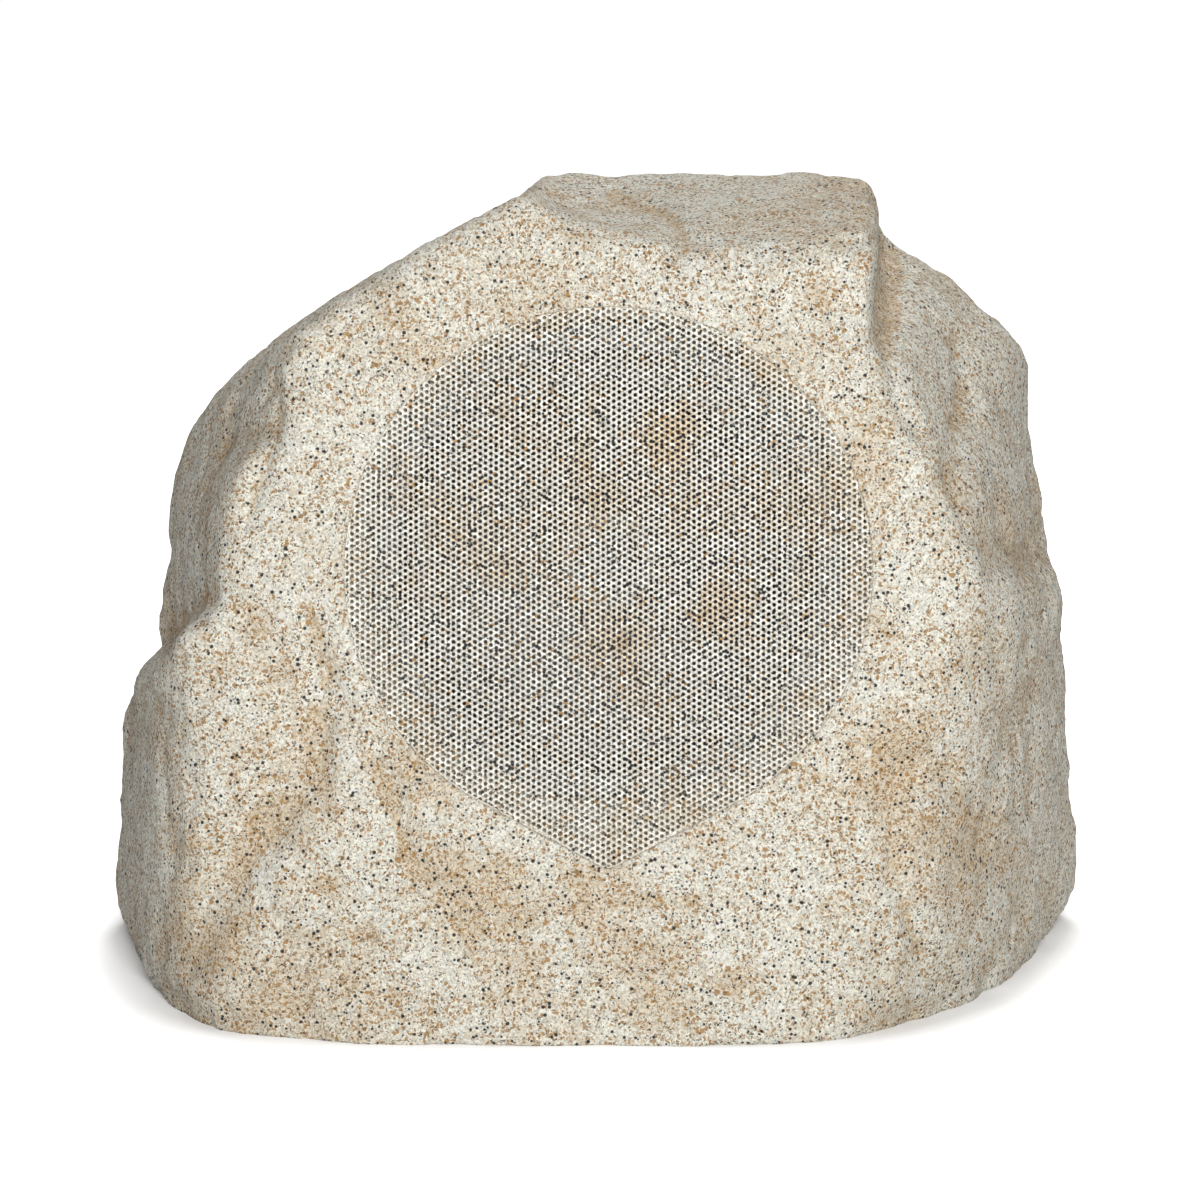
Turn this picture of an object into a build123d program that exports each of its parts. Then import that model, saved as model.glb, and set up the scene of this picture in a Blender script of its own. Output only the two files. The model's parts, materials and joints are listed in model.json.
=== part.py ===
from build123d import *
import functools
import math
import os

# Rock shaped garden speaker, in millimetres.
# The origin is on the ground under the rock, +Z is up and the grille faces -Y.

# Overall size of the rock
ROCK_WIDTH = 367.0
ROCK_DEPTH = 293.0
ROCK_HEIGHT = 296.0
DRAWN_SIZE = (367.0, 293.0, 296.0)
WALL = 6.0

# The point inside the rock that its facets are measured from, and the flat front
CENTRE_X = 5.0
CENTRE_Z = 140.0
FRONT_LEAN = 12.0
FRONT_REACH = 112.0
FRONT_FLAT_RADIUS = 100.0

# How crisp the ridges are, outside and on the smoother inside
RIDGE_SHARPNESS = 34.0
INNER_SHARPNESS = 14.0

# How finely the rock is sampled: rays in a ring, rings from front to back
OUTER_RAYS = 96
OUTER_RINGS = 28
INNER_RAYS = 56
INNER_RINGS = 16
LAST_RING_ANGLE = 158.0
RING_CROWDING = 1.3

# Searches along a ray: the steepest one looked at, and how often the span is halved
STEEPEST_LIFT = -80.0
HALVINGS = 40

# Side of a block that is sure to hold the rock, in rock sizes
AMPLE = 4

# Facets of the rock: turn from the front towards the right, lift above level, reach from the centre
BACK_FACET = (180, 8, 131.5)
COMMON_FACETS = {
    "back": BACK_FACET,
    "back_left": (-128, 10, 143.0),
    "back_right": (132, 8, 140.5),
    "under": (0, -90, 180.0),
    "roll_front": (0, -60, 199.5),
    "roll_front_left": (-45, -60, 220.0),
    "roll_front_right": (45, -60, 203.0),
    "roll_left": (-82, -60, 212.0),
    "roll_right": (82, -60, 205.0),
    "roll_back": (180, -60, 195.0),
    "front_low": (0, -3, 164.0),
    "front_left": (-14, 8, 139.0),
    "front_left_low": (-20, 1, 173.5),
    "front_right_low": (20, 2, 154.0),
    "front_top": (2, 24, 137.0),
    "left_front_low": (-62, 2, 186.5),
    "left_low": (-80, 3, 176.0),
    "left_edge": (-94, 41, 158.0),
    "left_slope": (-97, 52, 149.5),
    "right_low_front": (50, -5, 173.0),
    "right_low_side": (70, -4, 170.5),
    "back_high": (178, 42, 120.0),
    "back_high_left": (-138, 40, 135.0),
    "back_high_right": (140, 40, 147.0),
}
LEFT_MID = (-76, 5, 161.5)
LEFT_HIGH = (-68, 8, 155.5)
LEFT_TOP = (-106, 62, 141.4)
PEAK_RIGHT = (114, 65, 121.8)
RIGHT_FRONT_HIGH = (62, 18, 149.0)
RIGHT_HIGH = (84, 13, 164.5)
RIGHT_LOW = (84, 0, 173.0)
# The rock is the union of these lumps, each cut by the common facets and by its own
LUMPS = {
    "body": [LEFT_MID, LEFT_HIGH, LEFT_TOP, PEAK_RIGHT, RIGHT_FRONT_HIGH, RIGHT_HIGH, RIGHT_LOW],
    "left_shoulder": [LEFT_MID, LEFT_TOP, PEAK_RIGHT, RIGHT_FRONT_HIGH, RIGHT_HIGH, RIGHT_LOW, (-84, 46, 142.5)],
    "left_foot": [LEFT_TOP, PEAK_RIGHT, RIGHT_FRONT_HIGH, RIGHT_HIGH, RIGHT_LOW, (-119, 60, 45.0)],
    "crown": [
        LEFT_MID, LEFT_HIGH, RIGHT_HIGH, RIGHT_LOW,
        (0, 85, 153.0), (-35, 82, 147.0), (87, 1, 103.0), (-72, 60, 129.5), (170, 45, 133.5),
    ],
    "shoulder": [
        LEFT_MID, LEFT_HIGH, LEFT_TOP,
        (67, 28, 159.4), (86, 40, 174.0), (80, 8, 160.0), (60, 70, 145.5),
    ],
    "right_foot": [
        LEFT_MID, LEFT_HIGH, LEFT_TOP, RIGHT_LOW,
        (21, 9, 144.0), (80, 2, 171.5), (110, 70, 55.5),
    ],
}
# Hollows and swells: place, half length, half width, turn from level, height over the facets
SWELL_FADE = 70.0
SWELLS = {
    "left_groove": (-116, -115, 88, 60, 12, 62, -6.0),
    "chin_groove": (-76, -135, 92, 20, 6, -68, -2.0),
    "right_valley": (112, -115, 92, 34, 9, 8, -4.0),
    "crown_scoop": (88, -60, 255, 26, 10, -6, -4.0),
    "shoulder_rib": (137, -20, 200, 34, 7, 78, 4.0),
    "shoulder_hollow": (127, -40, 190, 34, 9, 70, -4.0),
}

# Grille: a round sheet with a pointed lower edge, in a recess of the front
DRIVER_RISE = 5.0
GRILLE_DROP = 3.5
GRILLE_RADIUS = 93.0
GRILLE_TIP = 105.5
GRILLE_TIP_ROUND = 5.0
GRILLE_SHEET = 1.2
GRILLE_RIM = 4.0
GRILLE_EDGE_ROUND = 1.0
GRILLE_SINK = 2.5
GRILLE_CLEARANCE = 0.4
GRILLE_MARGIN = 7.0
GRILLE_HOLE = 11.0
GRILLE_PITCH = 16.0
RECESS_FLOOR = 6.0

# Driver seat in the rock
OPENING_RADIUS = 87.0
SEAT_DEPTH = 22.0
SEAT_THICKNESS = 6.0
CUTOUT_RADIUS = 75.0
GASKET_THICKNESS = 2.0
SEAT_BOSS_RADIUS = 4.5

# Basket
FLANGE_RADIUS = 84.0
FLANGE_THICKNESS = 4.0
FLANGE_STEP = 2.0
LAND_OUTER = 76.0
LAND_INNER = 71.0
BASKET_TOP = 74.0
BASKET_WALL = 3.0
BASKET_BASE = 44.0
BASKET_HEIGHT = 37.0
BASKET_FLOOR = 2.0
BASKET_BORE = 19.0
SHELF_INNER = 36.0
SHELF_HEIGHT = 6.0
SPOKES = 6
WINDOW_ANGLE = 40.0

# Moving parts of the woofer
COIL_RADIUS = 16.1
FORMER_WALL = 0.5
FORMER_LENGTH = 27.0
WINDING_WALL = 0.7
WINDING_LENGTH = 12.0
CONE_RADIUS = 60.0
CONE_LIP = 3.5
CONE_THICKNESS = 1.0
CONE_DEPTH = 26.0
CONE_COLLAR = 4.0
CONE_BULGE = 2.5
SURROUND_SHEET = 0.8
SPIDER_SHEET = 0.6
SPIDER_WAVE = 1.2
SPIDER_WAVES = 3
DUST_RING_THICKNESS = 2.0
RUNNING_GAP = 0.5

# Motor
TOP_PLATE_RADIUS = 43.0
TOP_PLATE_THICKNESS = 6.0
MAGNET_RADIUS = 47.0
MAGNET_BORE = 22.0
MAGNET_THICKNESS = 16.0
YOKE_RADIUS = 45.0
YOKE_THICKNESS = 6.0

# Tweeter on a post through the pole
POST_RADIUS = 5.0
POST_SHOULDER = 6.5
POST_BORE = 2.0
POST_NUT = 17.0
POST_NUT_THICKNESS = 4.0
TWEETER_BACK = 26.0
TWEETER_RADIUS = 17.0
TWEETER_CUP_DEPTH = 13.0
TWEETER_CUP_WALL = 1.5
TWEETER_CUP_FLOOR = 2.0
TWEETER_MAGNET_RADIUS = 12.0
TWEETER_MAGNET_THICKNESS = 5.0
TWEETER_PLATE_RADIUS = 11.0
TWEETER_PLATE_THICKNESS = 2.0
DOME_RADIUS = 10.0
DOME_RISE = 4.0
DOME_SHEET = 0.5
TWEETER_FACE_THICKNESS = 1.5

# Terminals on the basket
TAB_WIDTH = 22.0
TAB_THICKNESS = 3.0
TAB_HEIGHT = 7.0
STRIP_WIDTH = 20.0
STRIP_THICKNESS = 1.6
TAG_WIDTH = 5.0
TAG_THICKNESS = 0.8
TAG_SPACING = 10.0
TAG_OVERHANG = 4.0

# Foot and base plate
FOOT_RIM = 14.0
FOOT_LEDGE = 14.0
FOOT_FLANGE = 12.0
BASE_THICKNESS = 5.0
BASE_GASKET = 2.0
BASE_CLEARANCE = 0.5
BASE_SCREWS = 8
BOSS_RADIUS = 5.5
BOSS_HEIGHT = 12.0
OUTLINE_POINTS = 32

# Screws: shank diameter, length, head diameter, head height
SCREW_SHANK = 4.0
SCREW_LENGTH = 16.0
SCREW_HEAD = 7.0
SCREW_HEAD_HEIGHT = 2.6
SCREW_SOCKET = 2.5
SCREW_CLEARANCE = 0.2
BOARD_SCREW_SHANK = 2.6
BOARD_SCREW_LENGTH = 8.0
BOARD_SCREW_HEAD = 5.2
BOARD_SCREW_HEAD_HEIGHT = 1.8
BOARD_SCREW_SOCKET = 1.6

# Crossover on the base plate
BOARD_LENGTH = 92.0
BOARD_WIDTH = 58.0
BOARD_THICKNESS = 1.6
BOARD_Y = 45.0
STANDOFF_RADIUS = 4.0
STANDOFF_HEIGHT = 8.0
STANDOFF_INSET = 5.0
INDUCTOR_X = -24.0
BOBBIN_RADIUS = 16.0
BOBBIN_CORE = 7.0
BOBBIN_BORE = 3.0
BOBBIN_HEIGHT = 18.0
BOBBIN_FLANGE = 2.0
COIL_DEPTH = 7.5
CAPACITOR_X = 22.0
CAPACITOR_RADIUS = 8.0
CAPACITOR_LENGTH = 32.0
CAPACITOR_Y = 10.0
RESISTOR_X = 22.0
RESISTOR_Y = -14.0
RESISTOR_LENGTH = 26.0
RESISTOR_SIDE = 7.0
PIN_RADIUS = 0.5
PIN_LENGTH = 3.0

# Cable gland, low on the back
GLAND_X = 0.0
GLAND_Z = 34.0
GLAND_SPOT_RADIUS = 14.0
GLAND_SPOT_DEPTH = 7.0
GLAND_PAD = 8.0
GLAND_POCKET = 30.0
GLAND_THREAD = 6.0
GLAND_BORE = 4.0
GLAND_HEX = 20.0
GLAND_HEX_THICKNESS = 5.0
GLAND_STUB = 7.0
GLAND_CAP_RADIUS = 9.0
GLAND_CAP_LENGTH = 12.0
GLAND_CAP_BORE = 4.2
GLAND_SEAL_RADIUS = 5.2
GLAND_SEAL_LENGTH = 9.0
CABLE_RADIUS = 3.25
LOCKNUT_HEX = 17.0
LOCKNUT_THICKNESS = 5.0
THREAD_CLEARANCE = 0.15

# Wadding on the back wall
WADDING_THICKNESS = 18.0
WADDING_GAP = 0.3
WADDING_BOTTOM = 70.0
WADDING_TOP = 225.0
WADDING_HALF_WIDTH = 95.0
WADDING_FRONT_Y = 55.0

# Inner leads
WOOFER_LEAD_RADIUS = 1.2
WOOFER_LEAD_Y = 22.0
TWEETER_LEAD_RADIUS = 0.8
TWEETER_LEAD_OFFSET = 0.9
TWEETER_LEAD_SPREAD = 4.0
TWEETER_LEAD_Y = 51.0

STRETCH = (ROCK_WIDTH/DRAWN_SIZE[0], ROCK_DEPTH/DRAWN_SIZE[1], ROCK_HEIGHT/DRAWN_SIZE[2])
CENTRE = (CENTRE_X*STRETCH[0], 0.0, CENTRE_Z*STRETCH[2])


def dot(a, b):
    return a[0]*b[0] + a[1]*b[1] + a[2]*b[2]


def heading(turn, lift):
    """Unit vector, turned from the front towards the right and lifted above level."""
    turn, lift = math.radians(turn), math.radians(lift)
    return (math.sin(turn)*math.cos(lift), -math.cos(turn)*math.cos(lift), math.sin(lift))


def real_plane(turn, lift, reach):
    """A drawn facet's normal and distance on the rock at its real size."""
    normal = [c/s for c, s in zip(heading(turn, lift), STRETCH)]
    length = math.sqrt(dot(normal, normal))
    return tuple(c/length for c in normal), reach/length


FRONT, FRONT_DISTANCE = real_plane(0, FRONT_LEAN, FRONT_REACH)
FRONT_UP = (0.0, FRONT[2], -FRONT[1])
COMMON_PLANES = [real_plane(*facet) for facet in COMMON_FACETS.values()] + [(FRONT, FRONT_DISTANCE)]
LUMP_PLANES = [
    COMMON_PLANES + [real_plane(*facet) for facet in facets] for facets in LUMPS.values()
]


def rock_point(ray, inset=0.0, sharpness=RIDGE_SHARPNESS):
    """Where a ray from the centre leaves the rock, with the facets moved in by the inset."""
    reach = 0.0
    for planes in LUMP_PLANES:
        total = 0.0
        for normal, distance in planes:
            share = dot(normal, ray)
            if share > 0:
                total += (share/(distance - inset))**sharpness
        reach = max(reach, total**(-1/sharpness))
    place = [c + reach*r for c, r in zip(CENTRE, ray)]
    for x, y, z, half_length, half_width, turn, height in SWELLS.values():
        dx, dy, dz = (p/s - c for p, s, c in zip(place, STRETCH, (x, y, z)))
        turn = math.radians(turn)
        along = (dx*math.cos(turn) + dz*math.sin(turn))/half_length
        across = (dz*math.cos(turn) - dx*math.sin(turn))/half_width
        reach += height*math.exp(-along**2 - across**2 - (dy/SWELL_FADE)**2)
    return tuple(c + reach*r for c, r in zip(CENTRE, ray))


def ring_ray(angle, clock):
    """Ray at an angle from the front axis, in a clock direction seen from the front."""
    angle, clock = math.radians(angle), math.radians(clock)
    side = (math.sin(clock), 0.0, 0.0)
    return tuple(
        math.cos(angle)*f + math.sin(angle)*(math.cos(clock)*u + s)
        for f, u, s in zip(FRONT, FRONT_UP, side)
    )


def closed_spline(points):
    count = len(points)
    steps = [i/count for i in range(count + 1)]
    return Wire([Edge.make_spline(points, periodic=True, parameters=steps)])


def flat_ring(angle, rays, normal, distance):
    """Ring where the rays meet one flat facet."""
    points = []
    for i in range(rays):
        ray = ring_ray(angle, 360*i/rays)
        reach = distance/dot(normal, ray)
        points.append(tuple(c + reach*r for c, r in zip(CENTRE, ray)))
    return closed_spline(points)


def rock_lump(inset, rays, rings, sharpness):
    """The whole rock as one solid, from a flat ring on the front to one on the back."""
    first = math.degrees(math.atan2(FRONT_FLAT_RADIUS, FRONT_DISTANCE))
    wires = [flat_ring(first, rays, FRONT, FRONT_DISTANCE - inset)]
    for k in range(1, rings):
        angle = first + (LAST_RING_ANGLE - first)*(k/(rings - 1))**RING_CROWDING
        points = [rock_point(ring_ray(angle, 360*i/rays), inset, sharpness) for i in range(rays)]
        if k < rings - 1:
            wires.append(closed_spline(points))
    normal = real_plane(*BACK_FACET)[0]
    distance = sum(dot(normal, point) for point in points)/rays - dot(normal, CENTRE)
    wires.append(flat_ring(LAST_RING_ANGLE, rays, normal, distance))
    return Solid.make_loft(wires)


def inner_lump(inset):
    return rock_lump(inset, INNER_RAYS, INNER_RINGS, INNER_SHARPNESS)


@functools.lru_cache(maxsize=None)
def foot_radius(turn):
    """Distance from the centre line to the rock's edge on the ground."""
    low, high = STEEPEST_LIFT, 0.0
    for _ in range(HALVINGS):
        lift = (low + high)/2
        if rock_point(heading(turn, lift))[2] > 0:
            high = lift
        else:
            low = lift
    place = rock_point(heading(turn, high))
    return math.hypot(place[0] - CENTRE[0], place[1] - CENTRE[1])


def foot_place(turn, inset):
    """Point on the ground, moved in from the rock's edge."""
    reach = foot_radius(turn) - inset
    direction = heading(turn, 0)
    return (CENTRE[0] + reach*direction[0], CENTRE[1] + reach*direction[1])


def foot_slab(inset, bottom, top):
    """Upright slab with the outline of the foot, moved in by the inset."""
    turns = [360*i/OUTLINE_POINTS for i in range(OUTLINE_POINTS)]
    outline = Polyline(*[foot_place(turn, inset) for turn in turns], close=True)
    return Pos(0, 0, bottom)*extrude(make_face(outline), top - bottom, dir=(0, 0, 1))


def above(height):
    """Block that holds everything above a height."""
    side = AMPLE*max(ROCK_WIDTH, ROCK_DEPTH, ROCK_HEIGHT)
    return Pos(0, 0, height + side/2)*Box(side, side, side)


# The driver's axis leaves the flat front here, and its local Z points out of the rock
AXIS_POINT = tuple(
    c + FRONT_DISTANCE*f + DRIVER_RISE*u for c, f, u in zip(CENTRE, FRONT, FRONT_UP)
)
DRIVER = Location(Plane(origin=AXIS_POINT, x_dir=(1, 0, 0), z_dir=FRONT))

# Levels on the driver's axis, below the flat front
GRILLE_FACE = -GRILLE_SINK
RECESS_LEVEL = GRILLE_FACE - GRILLE_RIM
SEAT_LEVEL = -SEAT_DEPTH
FLANGE_BOTTOM = SEAT_LEVEL + GASKET_THICKNESS
FLANGE_TOP = FLANGE_BOTTOM + FLANGE_THICKNESS
LAND_LEVEL = FLANGE_TOP - FLANGE_STEP
BASKET_BOTTOM = FLANGE_BOTTOM - BASKET_HEIGHT
SHELF_LEVEL = BASKET_BOTTOM + SHELF_HEIGHT
CONE_TOP = LAND_LEVEL
CONE_NECK = CONE_TOP - CONE_DEPTH
FORMER_TOP = CONE_NECK + CONE_COLLAR
FORMER_BOTTOM = FORMER_TOP - FORMER_LENGTH
TOP_PLATE_MIDDLE = BASKET_BOTTOM - TOP_PLATE_THICKNESS/2
MAGNET_TOP = BASKET_BOTTOM - TOP_PLATE_THICKNESS
YOKE_TOP = MAGNET_TOP - MAGNET_THICKNESS
YOKE_BOTTOM = YOKE_TOP - YOKE_THICKNESS
POST_END = YOKE_BOTTOM - POST_NUT_THICKNESS - POST_BORE
CUP_BOTTOM = -TWEETER_BACK
CUP_TOP = CUP_BOTTOM + TWEETER_CUP_DEPTH
DRIVER_SCREW_CIRCLE = (LAND_OUTER + FLANGE_RADIUS)/2
POLE_RADIUS = COIL_RADIUS - FORMER_WALL - RUNNING_GAP
GAP_RADIUS = COIL_RADIUS + WINDING_WALL + RUNNING_GAP

# Levels of the foot
LEDGE_LEVEL = BASE_THICKNESS + BASE_GASKET
BASE_SCREW_INSET = FOOT_RIM + FOOT_LEDGE/2
BASE_TURNS = [360*(i + 0.5)/BASE_SCREWS for i in range(BASE_SCREWS)]
BOARD_BOTTOM = BASE_THICKNESS + STANDOFF_HEIGHT
BOARD_TOP = BOARD_BOTTOM + BOARD_THICKNESS


def tube(outer, inner, bottom, top):
    """Ring or tube on the local Z axis."""
    ring = Circle(outer) - Circle(inner)
    return Pos(0, 0, bottom)*extrude(ring, top - bottom)


def rod(radius, bottom, top):
    return Pos(0, 0, bottom)*extrude(Circle(radius), top - bottom)


def turned(*points):
    """Solid of revolution about the local Z axis, from a closed profile of radius and level."""
    return revolve(Plane.XZ*make_face(Polyline(*points, close=True)), Axis.Z)


def hexagon_prism(across_flats, bottom, top):
    return Pos(0, 0, bottom)*extrude(RegularPolygon(across_flats/2, 6, major_radius=False), top - bottom)


def clock_places(radius, count, start=0.0):
    """Places evenly round the local Z axis."""
    turns = [math.radians(start + 360*i/count) for i in range(count)]
    return [(radius*math.sin(turn), radius*math.cos(turn)) for turn in turns]


def pan_screw(shank, length, head, head_height, socket):
    """Screw whose head rests at level 0 and whose shank points down."""
    body = rod(head/2, 0, head_height) + rod(shank/2, -length, 0)
    return body - hexagon_prism(socket, head_height/2, head_height)


def flat_screw(shank, length, head, socket):
    """Countersunk screw whose head is flush at level 0 and whose shank points up."""
    sink = (head - shank)/2
    body = turned((0, 0), (head/2, 0), (shank/2, sink), (shank/2, length), (0, length))
    return body - hexagon_prism(socket, 0, sink)


def group(pieces):
    """Separate solids that share a node."""
    return Compound(children=[piece if isinstance(piece, Solid) else piece.solid() for piece in pieces])


def shield(grow):
    """Outline of the grille: a circle with a pointed lower edge."""
    radius = GRILLE_RADIUS + grow
    half_angle = math.asin(GRILLE_RADIUS/GRILLE_TIP)
    tip = radius/math.sin(half_angle)
    touch = (radius*math.cos(half_angle), -radius*math.sin(half_angle))
    point = make_face(Polyline((0, 0), touch, (0, -tip), (-touch[0], touch[1]), close=True))
    outline = Circle(radius) + point
    lowest = outline.vertices().sort_by(Axis.Y)[0]
    return Pos(0, -GRILLE_DROP)*fillet(lowest, GRILLE_TIP_ROUND + grow)


def shield_block(grow, bottom, top):
    return DRIVER*(Pos(0, 0, bottom)*extrude(shield(grow), top - bottom))


def on_driver(piece):
    return DRIVER*piece


def rock_shell(outer):
    """Hollow rock with the grille recess, the driver's seat, the foot ledge and the gland pad."""
    cavity = inner_lump(WALL) & above(FOOT_FLANGE)
    shell = (outer & above(0)) - cavity
    floor_level = RECESS_LEVEL - RECESS_FLOOR
    pad = shield_block(GRILLE_CLEARANCE + WALL, floor_level, -WALL/2)
    well = on_driver(tube(OPENING_RADIUS + WALL, OPENING_RADIUS, SEAT_LEVEL, floor_level))
    seat = on_driver(tube(OPENING_RADIUS + WALL, CUTOUT_RADIUS, SEAT_LEVEL - SEAT_THICKNESS, SEAT_LEVEL))
    screw_end = FLANGE_TOP - SCREW_LENGTH
    driver_places = clock_places(DRIVER_SCREW_CIRCLE, SPOKES)
    base_places = [foot_place(turn, BASE_SCREW_INSET) for turn in BASE_TURNS]
    inner_face, spot_face = gland_faces()
    gland_pad = gland_location(0)*rod(GLAND_SPOT_RADIUS + WALL/2, inner_face, spot_face + WALL)
    driver_bosses = [on_driver(Pos(x, y)*rod(SEAT_BOSS_RADIUS, screw_end, SEAT_LEVEL)) for x, y in driver_places]
    boss_top = LEDGE_LEVEL + BOSS_HEIGHT
    base_bosses = [Pos(*place)*rod(BOSS_RADIUS, LEDGE_LEVEL, boss_top) for place in base_places]
    for piece in (pad, well, seat, gland_pad & outer & above(FOOT_FLANGE), *driver_bosses, *base_bosses):
        shell += piece
    hole = (SCREW_SHANK + SCREW_CLEARANCE)/2
    tools = [
        shield_block(GRILLE_CLEARANCE, RECESS_LEVEL, WALL),
        on_driver(rod(OPENING_RADIUS, SEAT_LEVEL, WALL)),
        foot_slab(FOOT_RIM, -WALL, LEDGE_LEVEL),
        foot_slab(FOOT_RIM + FOOT_LEDGE, -WALL, FOOT_FLANGE),
        gland_location(0)*rod(GLAND_SPOT_RADIUS, spot_face, spot_face + ROCK_DEPTH),
        gland_location(0)*rod(GLAND_THREAD + THREAD_CLEARANCE, inner_face, spot_face),
        gland_location(0)*rod(GLAND_SPOT_RADIUS, inner_face - GLAND_POCKET, inner_face),
    ]
    tools += [on_driver(Pos(x, y)*rod(hole, screw_end, FLANGE_TOP)) for x, y in driver_places]
    tools += [Pos(*place)*rod(hole, 0, SCREW_LENGTH) for place in base_places]
    for tool in tools:
        shell -= tool
    return shell.solids().sort_by(SortBy.VOLUME)[-1]


def grille():
    """Perforated sheet with a turned-back rim."""
    back = GRILLE_FACE - GRILLE_SHEET
    pan = Pos(0, 0, RECESS_LEVEL)*extrude(shield(0), GRILLE_RIM)
    pan = fillet(pan.edges().group_by(Axis.Z)[-1], GRILLE_EDGE_ROUND)
    pan -= Pos(0, 0, RECESS_LEVEL)*extrude(shield(-GRILLE_SHEET), back - RECESS_LEVEL)
    row_step = GRILLE_PITCH*math.sqrt(3)/2
    rows = int(GRILLE_TIP/row_step) + 1
    columns = int(GRILLE_RADIUS/GRILLE_PITCH) + 1
    limit = GRILLE_RADIUS - GRILLE_MARGIN - GRILLE_HOLE/2
    holes = []
    for row in range(-rows, rows + 1):
        shift = GRILLE_PITCH/2 if row % 2 else 0.0
        for column in range(-columns, columns + 1):
            x, y = column*GRILLE_PITCH + shift, row*row_step
            if math.hypot(x, y) < limit:
                holes.append(Pos(x, y - GRILLE_DROP)*RegularPolygon(GRILLE_HOLE/2, 6, rotation=30))
    return on_driver(pan - [Pos(0, 0, back)*extrude(hole, GRILLE_SHEET) for hole in holes])


def driver_gasket():
    ring = tube(FLANGE_RADIUS, CUTOUT_RADIUS, SEAT_LEVEL, FLANGE_BOTTOM)
    for x, y in clock_places(DRIVER_SCREW_CIRCLE, SPOKES):
        ring -= Pos(x, y)*rod((SCREW_SHANK + SCREW_CLEARANCE)/2, SEAT_LEVEL, FLANGE_BOTTOM)
    return on_driver(ring)


def driver_basket():
    """Cast frame: flange, conical wall with windows, spider shelf, floor and terminal tab."""
    frame = turned(
        (FLANGE_RADIUS, FLANGE_TOP), (FLANGE_RADIUS, FLANGE_BOTTOM), (BASKET_TOP, FLANGE_BOTTOM),
        (BASKET_BASE, SHELF_LEVEL - BASKET_WALL/2), (BASKET_BASE, BASKET_BOTTOM),
        (BASKET_BORE, BASKET_BOTTOM), (BASKET_BORE, BASKET_BOTTOM + BASKET_FLOOR),
        (SHELF_INNER, BASKET_BOTTOM + BASKET_FLOOR), (SHELF_INNER, SHELF_LEVEL),
        (BASKET_BASE - BASKET_WALL, SHELF_LEVEL), (LAND_INNER, FLANGE_BOTTOM),
        (LAND_INNER, LAND_LEVEL), (LAND_OUTER, LAND_LEVEL), (LAND_OUTER, FLANGE_TOP),
    )
    window = make_face(Polyline(
        (BASKET_BASE, SHELF_LEVEL + BASKET_WALL), (BASKET_BASE, FLANGE_BOTTOM - BASKET_WALL),
        (FLANGE_RADIUS, FLANGE_BOTTOM - BASKET_WALL), (FLANGE_RADIUS, SHELF_LEVEL + BASKET_WALL),
        close=True,
    ))
    cutter = revolve(Plane.XZ*window, Axis.Z, WINDOW_ANGLE)
    for i in range(SPOKES):
        frame -= Rot(0, 0, 360*i/SPOKES + 90 - 180/SPOKES - WINDOW_ANGLE/2)*cutter
    for x, y in clock_places(DRIVER_SCREW_CIRCLE, SPOKES):
        frame -= Pos(x, y)*rod((SCREW_SHANK + SCREW_CLEARANCE)/2, FLANGE_BOTTOM, FLANGE_TOP)
    tab = Box(TAB_WIDTH, TAB_THICKNESS + BASKET_WALL, TAB_HEIGHT, align=(Align.CENTER, Align.MAX, Align.MIN))
    tab = Pos(0, BASKET_WALL - BASKET_BASE, BASKET_BOTTOM)*tab
    return on_driver(frame + (tab - rod(SHELF_INNER + BASKET_WALL, BASKET_BOTTOM, FLANGE_TOP)))


def driver_screws():
    screw = pan_screw(SCREW_SHANK, SCREW_LENGTH, SCREW_HEAD, SCREW_HEAD_HEIGHT, SCREW_SOCKET)
    places = clock_places(DRIVER_SCREW_CIRCLE, SPOKES)
    return group([on_driver(Pos(x, y, FLANGE_TOP)*screw) for x, y in places])


def surround():
    """Half-roll edge between the cone's lip and the basket's land."""
    inner, outer = CONE_RADIUS, LAND_INNER + BASKET_WALL/2
    middle, roll = (inner + outer)/2, (outer - inner)/2
    top = LAND_LEVEL + SURROUND_SHEET
    outer_arc = ThreePointArc((inner, top), (middle, top + roll), (outer, top))
    inner_arc = ThreePointArc(
        (outer - SURROUND_SHEET, LAND_LEVEL), (middle, LAND_LEVEL + roll), (inner + SURROUND_SHEET, LAND_LEVEL)
    )
    profile = Wire([
        outer_arc,
        Line((outer, top), (LAND_OUTER - RUNNING_GAP, top)),
        Line((LAND_OUTER - RUNNING_GAP, top), (LAND_OUTER - RUNNING_GAP, LAND_LEVEL)),
        Line((LAND_OUTER - RUNNING_GAP, LAND_LEVEL), (outer - SURROUND_SHEET, LAND_LEVEL)),
        inner_arc,
        Line((inner + SURROUND_SHEET, LAND_LEVEL), (inner - CONE_LIP, LAND_LEVEL)),
        Line((inner - CONE_LIP, LAND_LEVEL), (inner - CONE_LIP, top)),
        Line((inner - CONE_LIP, top), (inner, top)),
    ])
    return on_driver(revolve(Plane.XZ*make_face(profile), Axis.Z))


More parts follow.
